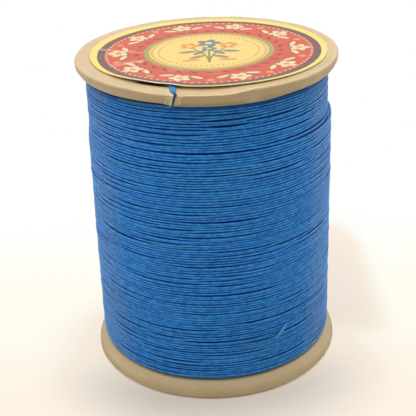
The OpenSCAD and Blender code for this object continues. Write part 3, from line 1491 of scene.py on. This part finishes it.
class TurnTree(Graph):
    """Geometry Nodes that wind one thread over a stretch of the reel."""

    SOCKETS = (
        ("First Turn", "NodeSocketFloat", 0.0),
        ("Turns", "NodeSocketFloat", 10.0),
        ("Points Each Turn", "NodeSocketInt", 200),
        ("Thread Radius", "NodeSocketFloat", THREAD_R),
        ("Pitch", "NodeSocketFloat", 0.57 * MM),
        ("Low Height", "NodeSocketFloat", 0.0),
        ("High Height", "NodeSocketFloat", 0.06),
        ("Body Radius", "NodeSocketFloat", 0.025),
        ("Shoulder", "NodeSocketFloat", 0.002),
        ("Neck Height", "NodeSocketFloat", 0.05),
        ("Neck Drop", "NodeSocketFloat", 0.0008),
        ("Wander", "NodeSocketFloat", 0.1 * MM),
        ("Ride", "NodeSocketFloat", 0.05 * MM),
        ("Gap", "NodeSocketFloat", 0.3 * MM),
        ("Lean", "NodeSocketFloat", 0.2 * MM),
        ("Seed", "NodeSocketFloat", 1.0),
        ("Material", "NodeSocketMaterial", None),
    )
    SIDES = 8

    def __init__(self) -> None:
        """Builds the tree."""
        tree = bpy.data.node_groups.new("wind_thread", "GeometryNodeTree")
        tree.is_modifier = True
        super().__init__(tree)
        tree.interface.new_socket("Geometry", in_out="INPUT", socket_type="NodeSocketGeometry")
        tree.interface.new_socket("Geometry", in_out="OUTPUT", socket_type="NodeSocketGeometry")
        self.identifiers: dict[str, str] = {}
        for name, kind, default in self.SOCKETS:
            made = tree.interface.new_socket(name, in_out="INPUT", socket_type=kind)
            self.identifiers[name] = made.identifier
            if default is not None:
                made.default_value = default
        self.entry = tree.nodes.new("NodeGroupInput")
        self._build()

    def given(self, name: str) -> Wire:
        """The wire of a named input."""
        return Wire(self, self.entry.outputs[name])

    def _slip(self, turn: Wire) -> Wire:
        """How far the thread has slipped up or down from its even pitch at a turn.

        Args:
            turn: the turns wound so far.

        Returns:
            The distance, with short stretches that have dropped and left a gap above them.
        """
        seed = self.given("Seed")
        loose = self.smooth(turn * self.given("Pitch"), 0.048, 0.058)
        wander = (self.noise1(turn + seed, 3.3, 2.0) - 0.5) * (self.given("Wander") * 2.0)
        fallen = self.smooth(self.noise1(turn + seed * 5.0, 6.5, 1.0), 0.52, 0.72)
        room = self.given("High Height") - self.given("Low Height") - turn * self.given("Pitch")
        slip = wander * (1.0 + loose) - fallen * self.given("Gap")
        return slip * self.smooth(room, 0.0, 2.0 * MM)

    def _lay(self) -> tuple[tuple[Wire, Wire, Wire], dict[str, Wire]]:
        """Works out where the thread's heart lies.

        Returns:
            Its x, y and z, and the numbers stored on it: its radius and height, the length of
            thread up to it, and half the distance to the turns below and above.
        """
        share = self.node("GeometryNodeInputIndex") / self.given("Points Each Turn")
        turn = self.given("First Turn") + share
        angle = turn * TURN
        seed, pitch = self.given("Seed"), self.given("Pitch")
        before, slip, after = (self._slip(turn + k) for k in (-1.0, 0.0, 1.0))
        drift = (self.noise1(turn + seed * 3.0, 0.23, 1.0) - 0.5) * (self.given("Wander") * 1.2)
        length = self.math("MAXIMUM", turn * pitch + slip + drift, 0.0)
        shoulder = self.given("Shoulder")
        bend = self.clamp(length / shoulder, 0.0, math.pi / 2)
        straight = self.math("MAXIMUM", length - shoulder * (math.pi / 2), 0.0)
        height = self.given("Low Height") + shoulder * (1.0 - self.math("COSINE", bend)) + straight
        height = self.math("MINIMUM", height, self.given("High Height"))
        ride = (self.noise1(turn + seed * 7.0, 2.1, 2.0) - 0.5) * (self.given("Ride") * 2.0)
        overlap = self.given("Thread Radius") * 2.0 - (pitch + slip - before)
        crowd = self.math("MAXIMUM", overlap, 0.0)
        side = self.math("COSINE", angle)
        left = (1.0 - side) * (1.0 - side) * 0.25
        neck_z = self.given("Neck Height") - left * (NECK_SLANT * MM)
        neck = self.smooth(height, neck_z - (left * NECK_RUN_LEFT + NECK_RUN) * MM, neck_z)
        neck = neck * (side * NECK_LEAN + NECK_SHARE)
        lean = self.smooth(height, 0.02, 0.05) * self.given("Lean") * side
        radius = (
            self.given("Body Radius")
            - shoulder * (1.0 - self.math("SINE", bend))
            - neck * self.given("Neck Drop")
            + ride
            + crowd * 0.6
            + lean
        )
        along = turn * (TURN * LAY_R)
        place = radius * self.math("COSINE", angle), radius * self.math("SINE", angle), height
        return place, {
            "heart_r": radius,
            "heart_z": height,
            "along": along,
            "room_below": (pitch + slip - before) * 0.5,
            "room_above": (pitch + after - slip) * 0.5,
        }

    def _build(self) -> None:
        """Adds the nodes, from a line of points to the finished mesh."""
        place, marks = self._lay()
        count = self.given("Turns") * self.given("Points Each Turn") + 1.0
        shape = self.node("GeometryNodeMeshLine", inputs={"Count": count})
        for name, value in marks.items():
            shape = self.node(
                "GeometryNodeStoreNamedAttribute",
                {"data_type": "FLOAT", "domain": "POINT"},
                {"Geometry": shape, "Name": name, "Value": value},
            )
        spot = self.node("ShaderNodeCombineXYZ", inputs=dict(enumerate(place)))
        shape = self.node("GeometryNodeSetPosition", inputs={"Geometry": shape, "Position": spot})
        shape = self.node("GeometryNodeMeshToCurve", inputs={"Mesh": shape})
        shape = self.node("GeometryNodeSetCurveNormal", {"mode": "Z_UP"}, {"Curve": shape})
        section = self.node(
            "GeometryNodeCurvePrimitiveCircle",
            inputs={"Resolution": self.SIDES, "Radius": self.given("Thread Radius")},
        )
        shape = self.node(
            "GeometryNodeCurveToMesh",
            inputs={"Curve": shape, "Profile Curve": section, "Fill Caps": True},
        )
        shape = self.node("GeometryNodeSetShadeSmooth", inputs={"Geometry": shape})
        shape = self.node("GeometryNodeRealizeInstances", inputs={"Geometry": shape})
        shape = self.node(
            "GeometryNodeSetMaterial", inputs={"Geometry": shape, "Material": self.given("Material")}
        )
        self.end("NodeGroupOutput", Geometry=shape)

    def wind(self, name: str, values: dict[str, Any]) -> bpy.types.Object:
        """Winds one piece and returns it as a plain mesh.

        Args:
            name: the piece's name.
            values: the tree's inputs by name.

        Returns:
            The piece.
        """
        holder = linked(f"{name}_holder", bpy.data.meshes.new(name))
        modifier = holder.modifiers.new("wind", "NODES")
        modifier.node_group = self.tree
        for key, value in values.items():
            modifier[self.identifiers[key]] = value
        graph = bpy.context.evaluated_depsgraph_get()
        graph.update()
        mesh = bpy.data.meshes.new_from_object(holder.evaluated_get(graph))
        holder.modifiers.remove(modifier)
        bpy.data.objects.remove(holder)
        mesh.name = name
        return linked(name, mesh)


class LooseFibre(NamedTuple):
    """A short fibre that clings to the turns: degrees and millimetres."""

    angle: float
    start: float
    end: float
    across: float
    reach: float


@dataclass
class ThreadWinding:
    """The body of wound thread: its outer turns one by one, over the dark layers below them."""

    sizes: ReelSizes
    pitch: float = 0.54 * MM
    shoulder: float = 1.3 * MM
    foot: float = 0.36 * MM
    head: float = 0.35 * MM
    outer_r: float = 0.25 * MM
    neck_drop: float = 0.8 * MM
    neck_h: float = 8.6 * MM
    stretches: int = 3
    points_each_turn: int = 216
    under: float = 0.42 * MM
    wander: float = 0.15 * MM
    ride: float = 0.09 * MM
    gap: float = 0.2 * MM
    lean: float = 0.15 * MM
    seed: float = 4.0
    fibres: tuple[LooseFibre, ...] = (
        LooseFibre(-55.3, 14.4, 11.5, -6.6, 0.56),
        LooseFibre(-136.0, 21.7, 21.3, 1.2, 0.14),
    )

    def _turns(self, material: bpy.types.Material) -> list[bpy.types.Object]:
        """Winds the outer layer in stretches.

        Args:
            material: the thread's finish.

        Returns:
            The pieces, from the bottom up.
        """
        s = self.sizes
        tree = TurnTree()
        bend = self.shoulder - self.outer_r
        low, high = s.wind_z0 + self.foot + self.outer_r, s.wind_z1 - self.head - self.outer_r
        whole = (bend * math.pi / 2 + (high - low - bend)) / self.pitch
        whole = math.ceil(whole) + (SLIT_ANGLE / TURN - 0.06) % 1.0
        each = whole / self.stretches
        values = {
            "Turns": each,
            "Points Each Turn": self.points_each_turn,
            "Thread Radius": self.outer_r,
            "Pitch": self.pitch,
            "Low Height": low,
            "High Height": high,
            "Body Radius": s.wind_r - self.outer_r - 0.05 * MM,
            "Shoulder": bend,
            "Neck Height": s.wind_z1 - self.neck_h,
            "Neck Drop": self.neck_drop,
            "Wander": self.wander,
            "Ride": self.ride,
            "Gap": self.gap,
            "Lean": self.lean,
            "Seed": self.seed,
            "Material": material,
        }
        return [
            tree.wind(f"thread_turns_{k + 1}", {"First Turn": each * k, **values})
            for k in range(self.stretches)
        ]

    def _depth(self, material: bpy.types.Material) -> bpy.types.Object:
        """Makes the closed ring of lower layers.

        Args:
            material: its finish.

        Returns:
            The piece.
        """
        s = self.sizes
        outer, inner = s.wind_r - self.under, s.core_r + 0.05 * MM
        low = s.wind_z0 + self.foot
        bend, reach = self.shoulder, self.shoulder - self.under
        section = [(inner, s.wind_z0), (s.wind_r - bend, s.wind_z0)]
        for a in quarter(8):
            section.append((s.wind_r - bend + reach * math.sin(a), low + bend - reach * math.cos(a)))
        steps = 192
        rings = []
        for k in range(steps):
            a = TURN * k / steps
            neck_r = outer - self.neck_drop * neck_share(a)
            left = (1 - math.cos(a)) ** 2 / 4
            fall = left * (NECK_SLANT + NECK_RUN_LEFT) + NECK_RUN + 0.2
            start = s.wind_z1 - self.neck_h - fall * MM
            neck_z = start + (left * NECK_RUN_LEFT + NECK_RUN) * MM
            neck = [(outer, start), (neck_r, neck_z), (neck_r, s.wind_z1), (inner, s.wind_z1)]
            rings.append([polar(r, a, z) for r, z in section + neck])
        draft = MeshDraft()
        draft.tube(rings, closed=True)
        return draft.piece("thread_layers", material, crease=60.0)

    def _slub(self, finish: bpy.types.Material) -> bpy.types.Object:
        """Makes the short loose fibres that cling to the outer turns.

        Args:
            finish: their finish.

        Returns:
            The piece.
        """
        draft = MeshDraft()
        steps, sides = 12, 6
        for fibre in self.fibres:
            rings = []
            for k in range(steps + 1):
                share = k / steps
                a = math.radians(fibre.angle + fibre.across * share)
                r = self.sizes.wind_r + 0.32 * MM + 0.08 * MM * math.sin(math.pi * share)
                middle = polar(r, a, (fibre.start + (fibre.end - fibre.start) * share) * MM)
                out = polar(1.0, a, 0.0)
                aside = out.cross(Vector((0, 0, 1)))
                taper = math.sin(math.pi * min(max(share, 0.03), 0.97)) ** 0.7
                reach = fibre.reach * MM * taper
                turns = [TURN * q / sides for q in range(sides)]
                spokes = [aside * math.cos(q) + out * (0.4 * math.sin(q)) for q in turns]
                rings.append([middle + spoke * reach for spoke in spokes])
            draft.tube(rings, [{"spread_and_light": 1.4}] * len(rings))
        return draft.piece("thread_slubs", finish, crease=70.0)

    def build(
        self, outer: bpy.types.Material, depth: bpy.types.Material, loose: bpy.types.Material
    ) -> list[bpy.types.Object]:
        """Builds the winding.

        Args:
            outer: finish of the outer turns.
            depth: finish of the layers below.
            loose: finish of the loose fibres.

        Returns:
            The pieces.
        """
        layers = self._depth(depth)
        settle(layers, "thread", "thread_winding")
        others = [*self._turns(outer), self._slub(loose)]
        for piece in others:
            settle(piece, "thread")
        return [layers, *others]


@dataclass
class ThreadTail:
    """The thread's outer end: its lead under the disc, the slit, and the opened plies on top."""

    sizes: ReelSizes
    tail_turn: float = 30.0
    neck_drop: float = 0.8 * MM
    lay_gap: float = 0.03 * MM
    strands: int = 3
    wisps: int = 7
    twist: float = 2.4 * MM
    spacing: float = 0.14 * MM
    fan: float = 4.9 * MM
    sides: int = 8

    # Millimetres: out from the winding, beside the slit, and up; depths in the slit; then in from
    # the rim, beside the slit, and up from the face.
    LEAD = ((0.1, -2.6, 0.0), (0.5, -1.7, 0.1))
    SLIT_DEPTHS = (2.1, 1.6, 1.15, 0.75)
    ON_DISC = (
        (0.26, -0.38, -0.6),
        (0.55, -0.52, -0.36),
        (1.2, -0.86, -0.16),
        (2.0, -1.24, 0.02),
        (3.2, -1.78, 0.14),
        (4.6, -2.3, 0.16),
    )

    def route(self) -> list[Vector]:
        """The tail's lay: along the winding, up through the leaning slit and in under the paper.

        Returns:
            Points along it, from the winding to its end under the label.
        """
        s = self.sizes
        under = s.wind_z1 - THREAD_R - self.lay_gap
        around = [SLIT_ANGLE - math.radians(a) for a in range(int(self.tail_turn), 8, -3)]
        bed = s.wind_r + THREAD_R + self.lay_gap
        lay_r = bed - self.neck_drop * neck_share(SLIT_ANGLE)

        def beside(radius: float, aside: float, height: float) -> Vector:
            """A point by its sideways distance from the slit, in millimetres."""
            return polar(radius, SLIT_ANGLE + aside * MM / radius, height)

        points = [polar(bed - self.neck_drop * neck_share(a), a, under) for a in around]
        points += [beside(lay_r + out * MM, aside, under + up * MM) for out, aside, up in self.LEAD]
        points.append(beside(lay_r + 0.85 * MM, -1.1, s.wind_z1 + 0.2 * MM))
        for depth in self.SLIT_DEPTHS:
            radius = s.flange_r - (0.32 + 0.1 * depth) * MM
            aside = SLIT_ASIDE - SLIT_LEAN * depth
            points.append(beside(radius, aside, s.top_face_z - depth * MM))
        for inward, aside, height in self.ON_DISC:
            points.append(beside(s.flange_r - inward * MM, aside, s.top_face_z + height * MM))
        return points

    @staticmethod
    def _smooth_path(points: list[Vector], spacing: float) -> list[Vector]:
        """Points at even spacing on a smooth line through the given ones.

        Args:
            points: the route.
            spacing: distance between two points of the result.

        Returns:
            The finer path.
        """
        fine = []
        count = len(points)
        for i in range(count - 1):
            p0, p1 = points[max(i - 1, 0)], points[i]
            p2, p3 = points[i + 1], points[min(i + 2, count - 1)]
            steps = max(int((p2 - p1).length / spacing), 1)
            for k in range(steps):
                t = k / steps
                second = (2 * p0 - 5 * p1 + 4 * p2 - p3) * t * t
                third = (3 * p1 - p0 - 3 * p2 + p3) * t * t * t
                fine.append(0.5 * (2 * p1 + (p2 - p0) * t + second + third))
        fine.append(points[-1])
        return fine

    def _section(
        self, strand: int, place: Vector, ahead: Vector, length: float, opened: float, inside: float
    ) -> list[Vector]:
        """One ring of points around a ply or a wisp of it.

        Args:
            strand: the ply's number, the wisps after the plies.
            place: the tail's heart there.
            ahead: the way it runs.
            length: length of thread up to there.
            opened: how far the plies have opened out, from 0 to 1.
            inside: how far it is squeezed by the slit, from 0 to 1.

        Returns:
            The ring's points.
        """
        side = ahead.cross(Vector((0, 0, 1)))
        if side.length < 0.3:
            side = Vector((-math.sin(SLIT_ANGLE), math.cos(SLIT_ANGLE), 0.0))
        side.normalize()
        up = side.cross(ahead).normalized()
        is_ply = strand < self.strands
        angle = TURN * (strand / self.strands + length / self.twist)
        heart = 0.13 * MM * (1 - opened) * (1 - 0.3 * inside)
        lane = strand - (self.strands - 1) / 2
        if not is_ply:
            lane = (strand - self.strands - (self.wisps - 1) / 2) * 0.36
        offset = side * (heart * math.cos(angle) + lane * 0.31 * MM * opened)
        offset += up * (heart * math.sin(angle))
        offset.z -= 0.06 * MM * opened
        if not is_ply:
            offset += side * (0.07 * MM * rand(length / MM * 1.3, strand * 3.7))
            offset += up * (0.08 * MM + 0.05 * MM * rand(length / MM * 1.1, strand * 5.1)) * opened
        thick = (0.15 - 0.03 * inside + 0.04 * opened) * MM if is_ply else 0.06 * MM
        wide, high = side * (thick * (1 + 0.3 * opened)), up * (thick * (1 - 0.35 * opened))
        turns = [TURN * q / self.sides for q in range(self.sides)]
        return [place + offset + wide * math.cos(q) + high * math.sin(q) for q in turns]

    def build(self, material: bpy.types.Material) -> bpy.types.Object:
        """Builds the tail as plies that open out on the disc.

        Args:
            material: its finish.

        Returns:
            The piece.
        """
        bed_z = self.sizes.wind_z1
        path = self._smooth_path(self.route(), self.spacing)
        lengths = [0.0]
        for a, b in zip(path, path[1:]):
            lengths.append(lengths[-1] + (b - a).length)
        fan_start = lengths[-1] - self.fan
        draft = MeshDraft()
        for strand in range(self.strands + self.wisps):
            rings, looks = [], []
            for i, (place, length) in enumerate(zip(path, lengths)):
                if strand >= self.strands and length < fan_start - 0.6 * MM:
                    continue
                ahead = (path[min(i + 1, len(path) - 1)] - path[max(i - 1, 0)]).normalized()
                opened = step(length, fan_start, fan_start + 1.5 * MM)
                inside = step(place.z, bed_z - 0.2 * MM, bed_z + 0.5 * MM) * (1 - opened)
                lead = 1 - step(place.z, bed_z - 0.2 * MM, bed_z + 0.3 * MM)
                rings.append(self._section(strand, place, ahead, length, opened, inside))
                # painted light on the lead under the disc; painted shade on the thread in the slit
                looks.append({"spread_and_light": max(opened, 0.6 * lead), "held": inside})
            draft.tube(rings, looks)
        made = draft.piece("thread_tail_plies", material, crease=70.0)
        settle(made, "thread", "thread_tail")
        return made


# ---------------------------------------------------------------- paper


@dataclass
class TopLabel:
    """The printed paper disc on the upper end, lifted where the tail runs under it, and creased."""

    sizes: ReelSizes
    rings: int = 64
    columns: int = 288
    crowding: float = 1.35
    flat_r: float = 15 * MM
    lift_power: float = 2.8
    tuck: float = 0.3 * MM
    rubbed: Pair = (-13.1, -7.4)

    # Where each crease starts and ends, and its rise; then bells round the edge: height in
    # millimetres, middle and width in degrees.
    CREASES = (
        ((-22.9, 1.5), (-12.9, -1.9), 0.25),
        ((-18.2, -10.3), (-11.6, -6.6), 0.2),
    )
    CUT = ((0.32, -125, 25), (0.1, -80, 25))
    LIFT = ((0.45, -123, 17), (0.16, -80, 30), (0.2, 170, 30))

    @staticmethod
    def _about(angle: float, middle: float, width: float) -> float:
        """A bell round the disc's edge, its middle and width in degrees."""
        away = (math.degrees(angle) - middle + 180) % 360 - 180
        return hump(away, width)

    def _bells(self, angle: float, bells: tuple[tuple[float, float, float], ...]) -> float:
        """Sum of bells, each given by its height in millimetres, middle and width."""
        return sum(high * self._about(angle, middle, width) for high, middle, width in bells)

    def _edge(self, angle: float) -> float:
        """Radius of the paper's edge, cut a little short in front."""
        return self.sizes.label_r - MM * self._bells(angle, self.CUT)

    def _lifted(self, radius: float, angle: float) -> float:
        """Height of the paper above the disc.

        Args:
            radius: distance from the paper's middle.
            angle: direction from the paper's middle.

        Returns:
            The height in metres.
        """
        share = max((radius - self.flat_r) / (self._edge(angle) - self.flat_r), 0.0)
        lift = self._bells(angle, self.LIFT) * share**self.lift_power
        ridge = 0.16 * self._about(angle, -108, 4.5) * step(radius, 19 * MM, 22 * MM)
        return (lift + ridge) * MM

    def _bare_and_highlight(self, radius: float, angle: float) -> float:
        """Share of unprinted paper where the print has rubbed off the edge, drawn brighter as a
        painted highlight.

        Args:
            radius: distance from the paper's middle.
            angle: direction from the paper's middle.

        Returns:
            The share.
        """
        ragged = 0.35 * rand(math.cos(angle) * 40, math.sin(angle) * 40, 3.0)
        wide = (0.2 + 0.16 * self._about(angle, -114, 20) + ragged * 0.35) * MM
        reach = min(self._about(angle, -118, 13) + 0.35 * self._about(angle, -85, 45), 1.0)
        inner = self._edge(angle) - wide
        return reach * step(radius, inner - 0.15 * MM, inner + 0.1 * MM)

    def _creased(self, x: float, y: float) -> tuple[float, float]:
        """Rise, wear and painted highlight that the creases leave at a place.

        Args:
            x: place across.
            y: place in depth.

        Returns:
            The rise in metres, and the wear with its painted highlight.
        """
        rise, worn = 0.0, 0.0
        for (ax, ay), (bx, by), height in self.CREASES:
            start, end = Vector((ax, ay)) * MM, Vector((bx, by)) * MM
            run = end - start
            point = Vector((x, y)) - start
            share = point.dot(run) / run.length_squared
            if share < -0.1 or share > 1.1:
                continue
            off = point.cross(run) / run.length
            fade = step(share, -0.1, 0.1) * (1 - step(share, 0.75, 1.1))
            rise += height * MM * fade * hump(off, 0.8 * MM)
            # painted highlight: a pale band along one side of each crease
            band = step(-off, -0.1 * MM, 0.1 * MM) * (1 - step(-off, 0.4 * MM, 2.6 * MM))
            worn += fade * (0.12 * hump(off, 0.45 * MM) + 0.24 * band)
        return rise, min(worn, 1.0)

    def _sheet(self, draft: MeshDraft, upper: bool) -> list[int]:
        """Draws one face of the paper.

        Args:
            draft: the mesh being drawn up.
            upper: whether it is the printed face.

        Returns:
            The points of its edge.
        """
        base = self.sizes.top_face_z + (self.sizes.label_t if upper else 0.0)
        rubbed = Vector(self.rubbed) * MM
        rise, worn = self._creased(LABEL_CENTRE.x, LABEL_CENTRE.y)
        hub = draft.point(LABEL_CENTRE + Vector((0, 0, base + rise)), worn=worn, edge=0.0)
        rows = []
        for i in range(1, self.rings + 1):
            share = 1 - (1 - i / self.rings) ** self.crowding
            row = []
            for k in range(self.columns):
                a = TURN * k / self.columns
                tuck = 0.0 if upper else self.tuck * self._about(a, -98, 46)
                radius = (self._edge(a) - tuck) * share
                x = LABEL_CENTRE.x + radius * math.cos(a)
                y = LABEL_CENTRE.y + radius * math.sin(a)
                rise, worn = self._creased(x, y)
                worn = max(worn, hump((Vector((x, y)) - rubbed).length, 0.55 * MM))
                place = Vector((x, y, base + self._lifted(radius, a) + rise))
                # the cut side is unprinted too, drawn brighter as a painted highlight
                bare_and_highlight = self._bare_and_highlight(radius, a) if upper else 1.0
                row.append(draft.point(place, worn=worn, edge=bare_and_highlight))
            rows.append(row)
        for k, corner in enumerate(rows[0]):
            draft.face(hub, corner, rows[0][(k + 1) % self.columns])
        draft.skin(rows)
        return rows[-1]

    def build(self, material: bpy.types.Material) -> bpy.types.Object:
        """Builds the paper disc from its two faces.

        Args:
            material: the printed finish.

        Returns:
            The piece.
        """
        draft = MeshDraft()
        top = self._sheet(draft, upper=True)
        draft.skin([top, self._sheet(draft, upper=False)])
        made = draft.piece("top_label_paper", material, crease=35.0)
        settle(made, "label_paper", "top_label")
        return made


def dress(node: str, material: bpy.types.Material) -> None:
    """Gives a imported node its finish.

    Args:
        node: the node's name.
        material: the finish.
    """
    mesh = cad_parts[node].data
    mesh.materials.clear()
    mesh.materials.append(material)
    log.info("%s: packed solid kept, dressed in %s", node, material.name)


# ---------------------------------------------------------------- studio


@dataclass(frozen=True)
class Lamp:
    """A soft rectangular lamp aimed at the reel."""

    name: str
    place: tuple[float, float, float]
    size: tuple[float, float]
    power: float
    tint: Colour = (1.0, 1.0, 1.0)

    def add(self, target: Vector) -> None:
        """Hangs the lamp.

        Args:
            target: what it points at.
        """
        data = bpy.data.lights.new(self.name, "AREA")
        data.shape = "RECTANGLE"
        data.size, data.size_y = self.size
        data.energy = self.power
        data.color = self.tint
        made = linked(self.name, data)
        made.location = self.place
        made.rotation_euler = (target - Vector(self.place)).to_track_quat("-Z", "Y").to_euler()


@dataclass
class Studio:
    """Pale floor, soft light and the camera."""

    target: Vector
    floor_near: Colour = srgb(254, 243, 228)
    floor_mid: Colour = srgb(255, 253, 240)
    floor_far: Colour = srgb(255, 255, 255)
    floor_size: float = 6.0
    floor_drop: float = 0.05 * MM
    floor_seen: float = 0.8
    floor_bounce: float = 0.74
    sky: float = 0.2
    lens: float = 86.46
    sensor: float = 36.0
    eye: tuple[float, float, float] = (0.00008, -0.19738, 0.12463)
    yaw_pitch_roll: tuple[float, float, float] = (-0.2688, 25.313, -2.2245)
    lamps: tuple[Lamp, ...] = (
        Lamp("overhead_softbox", (0.02, 0.05, 0.7), (0.9, 0.9), 5.5),
        Lamp("left_softbox", (-0.7, 0.04, 0.13), (0.5, 0.6), 1.25),
        Lamp("right_softbox", (0.7, 0.15, 0.25), (0.5, 0.6), 1.0),
    )

    @staticmethod
    def _shaded(g: FinishGraph, x: Wire, y: Wire) -> Wire:
        """Where the floor shows its shadows: a pool round the reel's foot and a band behind it.

        Args:
            g: the graph.
            x: place across.
            y: place in depth.

        Returns:
            The share of shadow that is let through.
        """
        pool = 1.0 - g.smooth(g.length(x, y + 7 * MM), 20 * MM, 44 * MM)
        pool = pool * (0.9 - 0.63 * g.smooth(y, -28 * MM, -6 * MM))
        band = 1.0 - g.smooth(abs(x - 14 * MM), 18 * MM, 30 * MM)
        band = band * g.smooth(y, -10 * MM, 5 * MM) * (0.35 - 0.35 * g.smooth(y, 35 * MM, 65 * MM))
        return g.math("MAXIMUM", pool, band)

    def floor(self) -> None:
        """Lays the floor, cream in front of the reel and white behind it."""
        bpy.ops.mesh.primitive_plane_add(size=self.floor_size, location=(0, 0, -self.floor_drop))
        made = bpy.context.object
        made.name = "floor"
        g = FinishGraph("floor_paper")
        x, y, _ = g.parts(g.place)
        seen = g.node("ShaderNodeLightPath", output="Is Camera Ray")
        lobe = self._shaded(g, x, y)
        clear = 1.0 - g.smooth(lobe, 0.0, 0.2)
        colour = g.blend(g.smooth(y, -0.035, 0.015) * clear, self.floor_near, self.floor_mid)
        colour = g.blend(g.smooth(y, 0.01, 0.065) * clear, colour, self.floor_far)
        glow = g.node("ShaderNodeEmission", inputs={"Color": colour, "Strength": 1.0})
        colour = g.shade(colour, self.floor_bounce + (self.floor_seen - self.floor_bounce) * seen)
        diffuse = g.node("ShaderNodeBsdfDiffuse", inputs={"Color": colour})
        mixed = g.node("ShaderNodeMixShader", inputs={0: seen * (1.0 - lobe), 1: diffuse, 2: glow})
        g.end("ShaderNodeOutputMaterial", Surface=mixed)
        made.data.materials.append(g.material)

    def world(self) -> None:
        """Sets the sky: plain fill light, and white where it is seen or mirrored."""
        world = bpy.data.worlds.new("studio")
        bpy.context.scene.world = world
        world.use_nodes = True
        g = Graph(world.node_tree)
        g.tree.nodes.clear()
        path = g.node("ShaderNodeLightPath", output="Is Camera Ray")
        seen = g.math("MAXIMUM", path, path.out("Is Glossy Ray"))
        seen = g.math("MAXIMUM", seen, path.out("Is Transmission Ray"))
        strength = self.sky + (1.0 - self.sky) * seen
        white = (1.0, 1.0, 1.0, 1.0)
        shade = g.node("ShaderNodeBackground", inputs={"Color": white, "Strength": strength})
        g.end("ShaderNodeOutputWorld", Surface=shade)

    def camera(self) -> None:
        """Places the camera in front of the reel, looking down on it."""
        data = bpy.data.cameras.new("camera")
        data.sensor_width = self.sensor
        data.lens = self.lens
        data.clip_start = 0.01
        made = linked("camera", data)
        yaw, pitch, roll = (math.radians(a) for a in self.yaw_pitch_roll)
        ahead = Vector((math.sin(yaw), math.cos(yaw), 0.0))
        forward = ahead * math.cos(pitch) - Vector((0.0, 0.0, math.sin(pitch)))
        level = Vector((math.cos(yaw), -math.sin(yaw), 0.0))
        upright = level.cross(forward)
        right = level * math.cos(roll) + upright * math.sin(roll)
        above = upright * math.cos(roll) - level * math.sin(roll)
        turn = Matrix((right, above, -forward)).transposed().to_4x4()
        made.matrix_world = Matrix.Translation(self.eye) @ turn
        bpy.context.scene.camera = made
        bpy.context.scene.view_settings.view_transform = "Standard"

    def build(self) -> None:
        """Sets up the whole studio."""
        self.camera()
        self.floor()
        self.world()
        for lamp in self.lamps:
            lamp.add(self.target)


def main() -> None:
    """Builds the studio and every piece of the reel."""
    logging.basicConfig(level=logging.INFO, format="%(name)s: %(message)s")
    sizes = ReelSizes.from_frame()
    Studio(Vector((0.0, 0.0, sizes.top_face_z / 2))).build()
    tan = TanMoulding().material()
    UpperFlange(sizes).build(tan)
    LowerFlange(sizes).build(tan)
    tail_finish = TailLinen().material()
    fleck_finish = TailLinen("fleck_linen", pale=srgb(86, 180, 246)).material()
    turns_finish = WaxedLinen(top=sizes.wind_z1).material()
    ThreadWinding(sizes).build(turns_finish, ThreadDepth().material(), fleck_finish)
    ThreadTail(sizes).build(tail_finish)
    TopLabel(sizes).build(PrintedPaper(Motif.GARLAND, PRINT_CENTRE).material())
    dress("bottom_label", PrintedPaper(Motif.RINGS, Vector((0.0, 0.0, 0.0))).material())
    dress("core_tube", CoreBoard().material())
    dress("thread_start", tail_finish)


if __name__ == "__main__":
    main()
